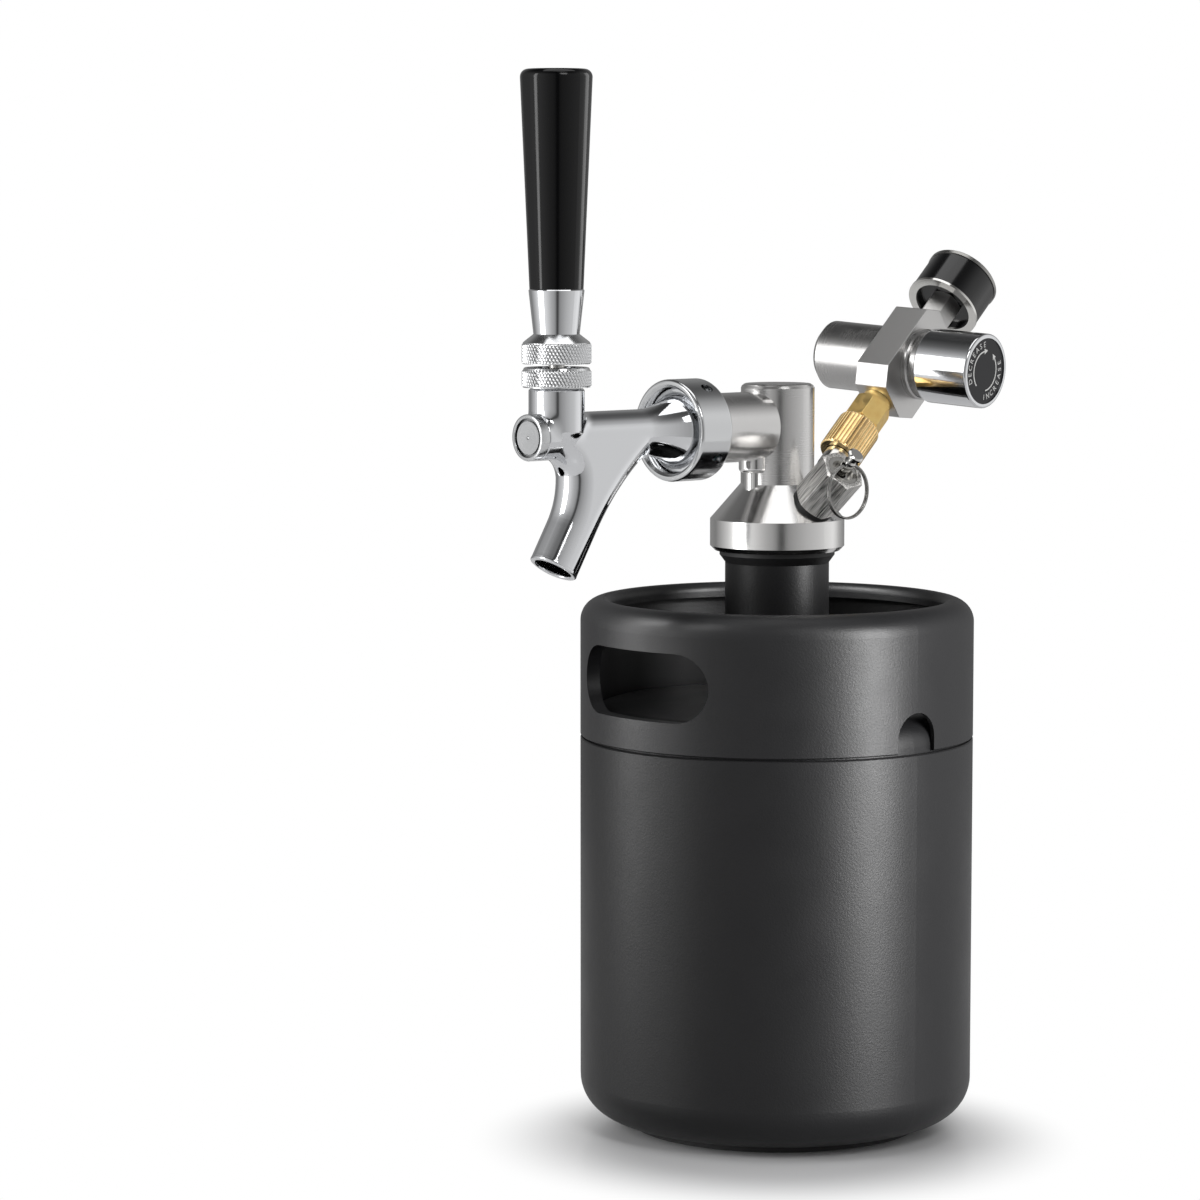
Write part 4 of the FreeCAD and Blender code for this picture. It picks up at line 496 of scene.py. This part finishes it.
def painted_recess_shade(material, reach, colour):
    """Painted shade: darkens the colour in cuts and corners narrower than `reach` millimetres, most where
    they are most shut in.
    """
    tree = material.node_tree
    painted_shade_occlusion = add_node(tree, "AmbientOcclusion", {"Distance": reach * MM}, samples=6).outputs["AO"]
    shade = tuple(0.05 * c for c in linear(colour)[:3]) + (1,)
    tint = add_node(tree, "Mix", {"A": shade, "B": linear(colour)}, {"Factor": painted_shade_occlusion}, data_type="RGBA")
    tree.links.new(tint.outputs["Result"], tree.nodes["Principled BSDF"].inputs["Base Color"])


def frame_axes(axis, side):
    """Three unit vectors of a right-handed frame: the third is `axis`, the first lies towards `side`."""
    z = Vector(axis).normalized()
    x = (Vector(side) - z * z.dot(Vector(side))).normalized()
    return np.array([x, z.cross(x), z])


def turned_face(name, profile, material, body, origin, axes):
    """A profile of (radius, height) pairs in millimetres, from pole to pole, carried once round an axis."""
    profile = np.array(profile, float)
    angle = np.linspace(0, 2 * np.pi, 128, endpoint=False)[:, None]
    radius, height = profile[:, 0][None, :], profile[:, 1][None, :]
    points = np.stack([radius * np.cos(angle), radius * np.sin(angle), height + 0 * angle], axis=-1)
    return surface(name, in_frame(points, origin, axes), material, body, sharp=28)


# The plug's profile runs from its thread's end over the rim and the groove to a small centre mark.
PLUG_FACE = 12.7
plug_centre = (0, -(TAP_REACH + PLUG_FACE) * MM, ARM_HEIGHT * MM)
plug_steel = turned_steel("turned_chrome_plug", "#C9CACB", 0.17, plug_centre, ALONG_ARM, spacing=0.7,
                          depth=0.03)
# Painted shade in the plug's groove and round the steps of its rim.
painted_recess_shade(plug_steel, 0.9, "#C9CACB")
plug = turned_face("plug_face", [
    (0, 6.5), (5.4, 6.5), (5.4, 9.4), (7.6, 9.4), (7.6, 12.15), (7.5, 12.45), (7.2, 12.65), (6.9, PLUG_FACE),
    (6.5, 12.68), (6.3, 12.5), (6.2, 12.2), (6.15, 11.4), (5.5, 11.4), (5.45, 12.2), (5.3, 12.3),
    (0.6, 12.26), (0.35, 12.0), (0, 11.9)],
    plug_steel, "head", FAUCET_CENTRE, frame_axes((0, -1, 0), (1, 0, 0)))
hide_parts("faucet_plug")

# The spout's mouth is finished with a rounded lip: a profile of (share of the way from the bore to
# the outer edge, height), carried round between the two. The outer edge is a circle spread out a
# little to both sides, as the spout's section is.
BORE_RADIUS, RIM_RADIUS, RIM_SPREAD = 6.25, 7.12, (0.4, 0.9)
LIP_PROFILE = [(0.03, -1.4), (0, -0.2), (0.08, 0.16), (0.3, 0.34), (0.6, 0.36), (0.88, 0.2), (1.01, -0.1),
               (1.02, -0.5), (0.9, -1.4)]
angle = np.linspace(0, 2 * np.pi, 120, endpoint=False)[:, None, None]
bore_edge = np.concatenate([BORE_RADIUS * np.cos(angle), BORE_RADIUS * np.sin(angle)], axis=2)
rim_edge = np.concatenate([RIM_SPREAD[0] * np.tanh(5 * np.cos(angle)) + RIM_RADIUS * np.cos(angle),
                           RIM_SPREAD[1] * np.tanh(5 * np.sin(angle)) + RIM_RADIUS * np.sin(angle)], axis=2)
across_lip, lip_height = np.array(LIP_PROFILE).T[:, None, :, None]
lip_points = np.concatenate([bore_edge + across_lip * (rim_edge - bore_edge), lip_height + 0 * angle], axis=2)
spout_axes = frame_axes((0, -math.sin(SPOUT_LEAN), -math.cos(SPOUT_LEAN)), (1, 0, 0))
lip = surface("spout_lip", in_frame(lip_points, FAUCET_CENTRE + SPOUT_MOUTH, spout_axes), chrome, "head",
              along=True, sharp=60)
nut_chrome = turned_steel("turned_chrome_nut", "#CDCECF", 0.15, arm_centre, ALONG_ARM, spacing=0.6,
                          depth=0.006)
coat("coupling_nut", nut_chrome)


def knurled(name, band, profile, material, body):
    """A turned ring with a diamond-knurled band (radius, low, high): two crossing families of V
    cuts, each a triangle wave of the angle plus or minus the height, the second pressed in half as
    deep; the deeper of the two is taken off the radius and both run out in a bevel at the band's
    ends. The profile then goes on, as (radius, height) pairs in millimetres, back to the band's
    foot. The cuts are fewer and deeper than real ones, so that the diamonds show."""
    radius, low, high = band
    line = np.array([(radius, h) for h in np.linspace(low, high, KNURL_ROWS)] + profile, float)
    is_band = np.arange(len(line)) < KNURL_ROWS
    angle = np.linspace(0, 2 * np.pi, 10 * KNURL_COUNT, endpoint=False)[:, None]
    height = line[:, 1][None, :]
    slant = height * math.tan(math.radians(30)) / radius
    wave_a = (KNURL_COUNT * (angle + slant) / (2 * np.pi)) % 1
    wave_b = (KNURL_COUNT * (angle - slant) / (2 * np.pi)) % 1
    hill = np.minimum(1 - np.abs(2 * wave_a - 1), 1 - 0.5 * np.abs(2 * wave_b - 1))
    edge = np.clip(np.minimum(height - low, high - height) / 0.4, 0, 1)
    cut = np.where(is_band[None, :], KNURL_DEPTH * (1 - hill * edge), 0.0)
    reach = line[:, 0][None, :] - cut
    points = np.stack([reach * np.cos(angle), reach * np.sin(angle), height + 0 * angle], axis=-1)
    placed = in_frame(points, (0, -TAP_REACH, 0), np.eye(3))
    return surface(name, placed, material, body, along=True, sharp=32)


knurl_chrome = grained("knurled_chrome", "#D6D7D8", 1.0, 0.16, size=0.5, lift=0.004)
# Painted shade in the knurled cuts and the corners of bonnet and collar.
painted_recess_shade(knurl_chrome, 0.6, "#E0E1E2")
bonnet_knurl = knurled("bonnet_knurl", (11.4, 256.0, 261.3), [
    (10.6, 262.0), (10.1, 262.2), (7.4, 262.2), (5.9, 259.0), (8.3, 259.0), (8.3, 255.7), (10.9, 255.7)],
    knurl_chrome, "head")
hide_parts("faucet_bonnet")

# ------------------------------------------------------------------ lever and handle
# The lever is a turned steel stem and ball; its knurled collar locks the handle. The ferrule is a
# bright chrome cone, and the handle is moulded in deep gloss black phenolic.
collar_knurl = knurled("collar_knurl", (11.4, 263.4, 269.9), [
    (10.95, 270.1), (10.6, 270.5), (7.5, 272.9), (4.0, 272.9), (4.0, 267.0), (9.8, 267.0), (9.8, 263.3),
    (10.9, 263.3)],
    knurl_chrome, "handle")
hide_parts("lever_collar")

lever_steel = grained("ground_steel_lever", "#C4C3C0", 1.0, 0.2, size=0.5, lift=0.004, stretch=(8, 8, 1))
for node in ("lever", "valve_shaft", "shaft_nut"):
    coat(node, lever_steel)
coat("handle_ferrule", polished("polished_chrome_ferrule", "#D6D7D9", 0.05, wave=30.0, depth=0.006))
phenolic, tree, shader = finish("gloss_black_phenolic", "#050506", 0.0, 0.1, IOR=1.34)
place = object_space(tree)
raise_surface(tree, shader, speckle(tree, place, 16.0, detail=1.0), 0.008)
vary_roughness(tree, shader, speckle(tree, place, 7.0), 0.09, 0.13, 0.35, 0.65)
coat("tap_handle", phenolic)

# ------------------------------------------------------------------ gas line
# A steel port screwed square to the cone on a black washer, a fluted swivel nut and a hexagon
# adapter, both machined from bar brass and left bright: warm yellow with sharp tool marks.
GAS_AXIS = (-0.085723, 0.752381, 0.653127)
GAS_ROOT = (-2.001 * MM, 17.561 * MM, 214.1 * MM)
for node in ("port_washer", "relief_washer"):
    coat(node, gasket_rubber)
coat("gas_port", turned_steel("turned_stainless_port", "#CFCDC9", 0.2, GAS_ROOT, GAS_AXIS))


def rounded_edges(tree, radius):
    """A normal that turns the corner over `radius` millimetres, so that sharp edges catch the light."""
    return add_node(tree, "Bevel", {"Radius": radius * MM}, samples=4).outputs["Normal"]


def bar_brass(name, colour, roughness, depth, edge=None):
    """Bright machined brass: tool marks round the gas line, a faint warm cloudiness of handling,
    painted shade in the flutes and corners, and edges broken over `edge` millimetres."""
    made, tree, shader = finish(name, colour, 1.0, roughness)
    place = object_space(tree, GAS_ROOT, GAS_AXIS)
    broken = rounded_edges(tree, edge) if edge else None
    raise_surface(tree, shader, lathe_lines(tree, place, 0.5), depth, under=broken)
    cloud = speckle(tree, place, 4.0, detail=3.0)
    tint = add_node(tree, "Mix", {"A": linear(colour), "B": linear("#D9A85A")},
                    {"Factor": ranged(tree, cloud, 0.0, 0.35, 0.4, 0.75)}, data_type="RGBA")
    # Painted shade: the colour darkens in flutes and corners within half a millimetre.
    painted_shade_occlusion = add_node(tree, "AmbientOcclusion", {"Distance": 0.5 * MM}, {"Color": tint.outputs["Result"]},
                        samples=6)
    tree.links.new(painted_shade_occlusion.outputs["Color"], shader.inputs["Base Color"])
    vary_roughness(tree, shader, cloud, roughness * 0.8, roughness * 1.3, 0.35, 0.65)
    return made


coat("swivel_nut", bar_brass("machined_brass_nut", "#FFE0A6", 0.2, 0.005))
coat("gas_adapter", bar_brass("machined_brass_hexagon", "#FFDC8E", 0.38, 0.004, edge=0.3))

# ------------------------------------------------------------------ regulator
# The block is milled from bar, bead blasted and nickel plated, which leaves it satin grey. The
# cartridge socket and the bonnet are turned, and the knob is drawn tube, chromed and polished.
BLOCK_CENTRE = np.array([-7.8986, 69.3252, 259.0351])
BLOCK_AT = tuple(BLOCK_CENTRE * MM)
KNOB_AXIS = np.array([0.983347, 0.169330, -0.065999])
KNOB_WAY = tuple(KNOB_AXIS)
KNOB_FACE = 33.95
INK_THICKNESS = 0.03
satin_nickel, tree, shader = finish("bead_blasted_nickel", "#B9B8B7", 1.0, 0.36)
blasting = speckle(tree, object_space(tree, BLOCK_AT, GAS_AXIS), 0.25)
raise_surface(tree, shader, blasting, 0.002, under=rounded_edges(tree, 0.35))
for node in ("regulator_block", "gauge_stem"):
    coat(node, satin_nickel)
socket_steel = turned_steel("turned_nickel_socket", "#A9A8A7", 0.24, BLOCK_AT, KNOB_WAY, spacing=0.4,
                            depth=0.004)
for node in ("cartridge_socket", "regulator_bonnet", "regulator_piston"):
    coat(node, socket_steel)
knob_chrome = turned_steel("polished_chrome_knob", "#CBCCCE", 0.1, BLOCK_AT, KNOB_WAY, spacing=0.6,
                           depth=0.002)
coat("pressure_knob", knob_chrome)
for node in ("piercing_pin", "adjusting_screw"):
    coat(node, lever_steel)
spring_steel = grained("drawn_spring_wire", "#8F8E8C", 1.0, 0.2, size=0.4, lift=0.001)
for node in ("range_spring", "relief_spring"):
    coat(node, spring_steel)

socket_thread = thread("socket_thread", radius=4.62, depth=0.3, start=16.7, length=9.7, pitch=1.058,
                       material=socket_steel, body="regulator", origin=BLOCK_CENTRE,
                       axes=frame_axes(-KNOB_AXIS, (0, 0, 1)), inward=True)

# The knob's end is closed by a dark anodised disc, spun so that its grain runs in circles, with
# two printed arrows that say which way raises the pressure.
disc_black, tree, shader = finish("spun_black_anodised_disc", "#2A2A2C", 0.75, 0.34)
raise_surface(tree, shader, lathe_lines(tree, object_space(tree, BLOCK_AT, KNOB_WAY), 0.5), 0.01)
coat("knob_disc", disc_black)
print_white = grained("printed_white_ink", "#E8E8E6", 0.0, 0.5, size=0.2, lift=0.003)


def arc_stroke(radius, width, start, end, steps=48):
    """A flat ring sector: corner points (x, y) of its quads, angles in degrees clockwise from the top."""
    angle = np.radians(np.linspace(start, end, steps))
    inner, outer = radius - width / 2, radius + width / 2
    rim = np.stack([np.sin(angle), np.cos(angle)], axis=1)
    return np.stack([inner * rim[:-1], outer * rim[:-1], outer * rim[1:], inner * rim[1:]], axis=1)


def arrow_head(radius, at, size, clockwise):
    """A solid triangle on the circle, pointing along it, as a quad with two corners together."""
    angle = math.radians(at)
    out = np.array([math.sin(angle), math.cos(angle)])
    onward = np.array([math.cos(angle), -math.sin(angle)]) * (1 if clockwise else -1)
    middle = radius * out
    return np.array([[middle - size * 0.62 * out, middle + size * 0.62 * out, middle + size * 1.3 * onward,
                      middle + size * 1.29 * onward]])


def letter_mesh(text, turn, size):
    """A letter's raised corner points, turned clockwise by `turn` degrees, and its faces."""
    curve = bpy.data.curves.new("type", "FONT")
    curve.body, curve.size, curve.extrude = text, size, INK_THICKNESS / 2
    curve.align_x, curve.align_y = "CENTER", "CENTER"
    sort = bpy.data.objects.new("type", curve)
    bpy.context.scene.collection.objects.link(sort)
    bpy.context.view_layer.update()
    mesh = bpy.data.meshes.new_from_object(sort)
    a = math.radians(-turn)
    spin = np.array([[math.cos(a), math.sin(a), 0], [-math.sin(a), math.cos(a), 0], [0, 0, 1]])
    corners, faces = corners_of(mesh) @ spin, [list(face.vertices) for face in mesh.polygons]
    bpy.data.objects.remove(sort)
    bpy.data.meshes.remove(mesh)
    bpy.data.curves.remove(curve)
    return corners, faces


def printed(name, strokes, letters, material, body, origin, axes):
    """Raised ink on a flat face, the plane of the first two axes: each quad of `strokes` becomes a
    slab, and each letter is a (text, x, y, turn, size) set in a plain typeface."""
    quads = np.concatenate(strokes).reshape(-1, 4, 2)
    count = len(quads)
    flat = np.concatenate([quads, quads], axis=1)
    lift = np.repeat([0.0, INK_THICKNESS], 4)[None, :, None] + np.zeros((count, 8, 1))
    points = [np.concatenate([flat, lift], axis=2).reshape(-1, 3)]
    sides = np.array([[0, 1, 2, 3], [7, 6, 5, 4], [0, 4, 5, 1], [1, 5, 6, 2], [2, 6, 7, 3], [3, 7, 4, 0]])
    faces = (np.arange(count)[:, None, None] * 8 + sides[None]).reshape(-1, 4).tolist()
    start = count * 8
    for text, x, y, turn, size in letters:
        corners, letter_faces = letter_mesh(text, turn, size)
        points.append(corners + [x, y, INK_THICKNESS / 2])
        faces += [[start + v for v in face] for face in letter_faces]
        start += len(corners)
    made = bpy.data.meshes.new(name)
    made.from_pydata(in_frame(np.concatenate(points), origin, axes).tolist(), [], faces)
    cleaned(made, 1e-8)
    made.materials.append(material)
    piece = bpy.data.objects.new(name, made)
    bpy.context.scene.collection.objects.link(piece)
    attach(piece, body)
    return piece


def round_word(word, radius, start, step, size, outward=True):
    """The letters of a word set round a circle, `step` degrees apart, tops outward or inward."""
    turns = [start + step * n for n in range(len(word))]
    return [(letter, radius * math.sin(math.radians(t)), radius * math.cos(math.radians(t)),
             t if outward else t + 180, size) for letter, t in zip(word, turns)]


ARROW_RADIUS, ARROW_WIDTH, ARROW_SIZE = 6.9, 0.5, 1.6
WORD_RADIUS, LETTER_STEP, LETTER_SIZE = 9.2, 15.0, 2.8
words = round_word("DECREASE", WORD_RADIUS, 248, LETTER_STEP, LETTER_SIZE)
words += round_word("INCREASE", WORD_RADIUS, 178, -LETTER_STEP, LETTER_SIZE, outward=False)
knob_face = BLOCK_CENTRE + KNOB_FACE * KNOB_AXIS
knob_marks = printed("knob_marks", [
    arc_stroke(ARROW_RADIUS, ARROW_WIDTH, 224, 352), arrow_head(ARROW_RADIUS, 352, ARROW_SIZE, True),
    arc_stroke(ARROW_RADIUS, ARROW_WIDTH, 172, 52), arrow_head(ARROW_RADIUS, 52, ARROW_SIZE, False)],
    words, print_white, "knob", knob_face, frame_axes(KNOB_AXIS, (-0.17, 0.985, 0)))

# ------------------------------------------------------------------ pressure gauge
# A small dial gauge: pressed steel case in gloss black enamel between two bright steel rings, a
# white dial printed in black, a red needle and a clear moulded lens.
GAUGE_AXES = frame_axes(GAS_AXIS, -KNOB_AXIS)
GAUGE_FOOT = BLOCK_CENTRE + 20 * np.array(GAS_AXIS)
GAUGE_AT = tuple(GAUGE_FOOT * MM)
coat("gauge_case", grained("gloss_black_enamel", "#0B0B0C", 0.0, 0.16, size=2.5, lift=0.004, detail=1.0,
                           IOR=1.5))
gauge_steel = turned_steel("polished_steel_ring", "#D2D1CE", 0.14, GAUGE_AT, GAS_AXIS, spacing=0.8,
                           depth=0.005)
coat("gauge_back_ring", gauge_steel)
coat("gauge_bezel", turned_steel("rolled_steel_bezel", "#989794", 0.3, GAUGE_AT, GAS_AXIS, spacing=0.8))
coat("gauge_dial", grained("white_enamelled_dial", "#ECECE8", 0.0, 0.4, size=0.6, lift=0.003))
coat("gauge_needle", grained("red_lacquered_needle", "#B3201C", 0.0, 0.3, size=0.5, lift=0.003))
coat("gauge_lens", grained("clear_polycarbonate_lens", "#FFFFFF", 0.0, 0.02, size=9.0, lift=0.004, detail=1.0,
                           IOR=1.58, Transmission_Weight=1.0))
print_black = grained("printed_black_ink", "#101011", 0.0, 0.45, size=0.2, lift=0.003)
print_red = grained("printed_red_ink", "#B3241F", 0.0, 0.45, size=0.2, lift=0.003)


def tick_marks(turns, inner, outer, width):
    """Radial strokes between two radii, one at each turn in degrees clockwise from the top."""
    angle = np.radians(np.asarray(turns, float))[:, None]
    out = np.concatenate([np.sin(angle), np.cos(angle)], axis=1)
    side = np.stack([out[:, 1], -out[:, 0]], axis=1) * width / 2
    return np.stack([inner * out - side, outer * out - side, outer * out + side, inner * out + side], axis=1)


# Two scales on one sweep: the outer with numbers from 0 to 60, the inner with ticks alone.
SWEEP = 135
SCALE_RADIUS, INNER_SCALE_RADIUS, NUMBER_RADIUS, NUMBER_SIZE = 10.6, 5.0, 7.4, 2.1
dial_top = GAUGE_FOOT + 20.6 * np.array(GAS_AXIS)
numbered = np.linspace(-SWEEP, SWEEP, 7)
dial_print = printed("dial_print", [
    arc_stroke(SCALE_RADIUS, 0.16, -SWEEP, SWEEP, 97), tick_marks(numbered, 8.9, SCALE_RADIUS, 0.32),
    tick_marks(np.linspace(-SWEEP, SWEEP, 31), 9.7, SCALE_RADIUS, 0.16),
    arc_stroke(INNER_SCALE_RADIUS, 0.12, -SWEEP, SWEEP, 65),
    tick_marks(np.linspace(-SWEEP, SWEEP, 17), INNER_SCALE_RADIUS, 5.7, 0.14)],
    [(str(10 * n), NUMBER_RADIUS * math.sin(math.radians(t)), NUMBER_RADIUS * math.cos(math.radians(t)), 0,
      NUMBER_SIZE) for n, t in enumerate(numbered)],
    print_black, "regulator", dial_top, GAUGE_AXES)
red_arc = [arc_stroke(10.15, 0.5, 92, 134)]
dial_red_arc = printed("dial_red_arc", red_arc, [], print_red, "regulator", dial_top, GAUGE_AXES)

# ------------------------------------------------------------------ relief valve
# Brushed hexagon bar with a screwed cap ring; the pull pin is polished steel and its ring is a
# sprung split ring, two turns of wire side by side. The brushing is drawn coarser than the real
# one, so that it shows.
RELIEF_AXIS = (0.757249, 0.0, 0.653127)
RELIEF_ROOT = (17.675 * MM, 0.0, 214.1 * MM)
brushed, tree, shader = finish("brushed_stainless_hexagon", "#CBC9C5", 1.0, 0.3)
place = object_space(tree, RELIEF_ROOT, RELIEF_AXIS)
brush = speckle(tree, place, 0.36, detail=3.0, stretch=(1, 1, 22))
raise_surface(tree, shader, brush, 0.015, under=rounded_edges(tree, 0.3))
vary_roughness(tree, shader, brush, 0.25, 0.45, 0.3, 0.7)
streaks = add_node(tree, "Mix", {"A": linear("#989693"), "B": linear("#FAF8F5")},
                   {"Factor": ranged(tree, brush, 0.0, 1.0, 0.36, 0.56)}, data_type="RGBA")
tree.links.new(streaks.outputs["Result"], shader.inputs["Base Color"])
coat("relief_body", brushed)
relief_ring = turned_steel("turned_stainless_ring", "#CFCDC9", 0.2, RELIEF_ROOT, RELIEF_AXIS)
# Painted shade in the cap ring's corners and recesses.
painted_recess_shade(relief_ring, 1.5, "#CFCDC9")
coat("relief_cap", relief_ring)
coat("relief_pin", polished("polished_steel_pin", "#C9C8C5", 0.1, wave=5.0, depth=0.004))

# Split ring: two turns of wire that lie side by side and cross over smoothly between them.
RING_RADIUS, RING_WIRE, RING_OFFSET = 9.0, 0.42, 0.36
RING_EYE_X, RING_CENTRE_Z = 33.88, 219.08
angle = np.linspace(0, 4 * np.pi, 193) + math.radians(200)
crossing = np.clip((angle - angle[0] - 2 * np.pi + 0.4) / 0.8, 0, 1)
crossing = crossing ** 2 * (3 - 2 * crossing)
ring_path = np.stack([RING_EYE_X - RING_OFFSET + 2 * RING_OFFSET * crossing, RING_RADIUS * np.sin(angle),
                      RING_CENTRE_Z + RING_RADIUS * np.cos(angle)], axis=1)
split_ring = bead("split_ring", ring_path, RING_WIRE, spring_steel, "pull_ring", flat_axis=(1, 0, 0))
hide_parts("pull_ring")
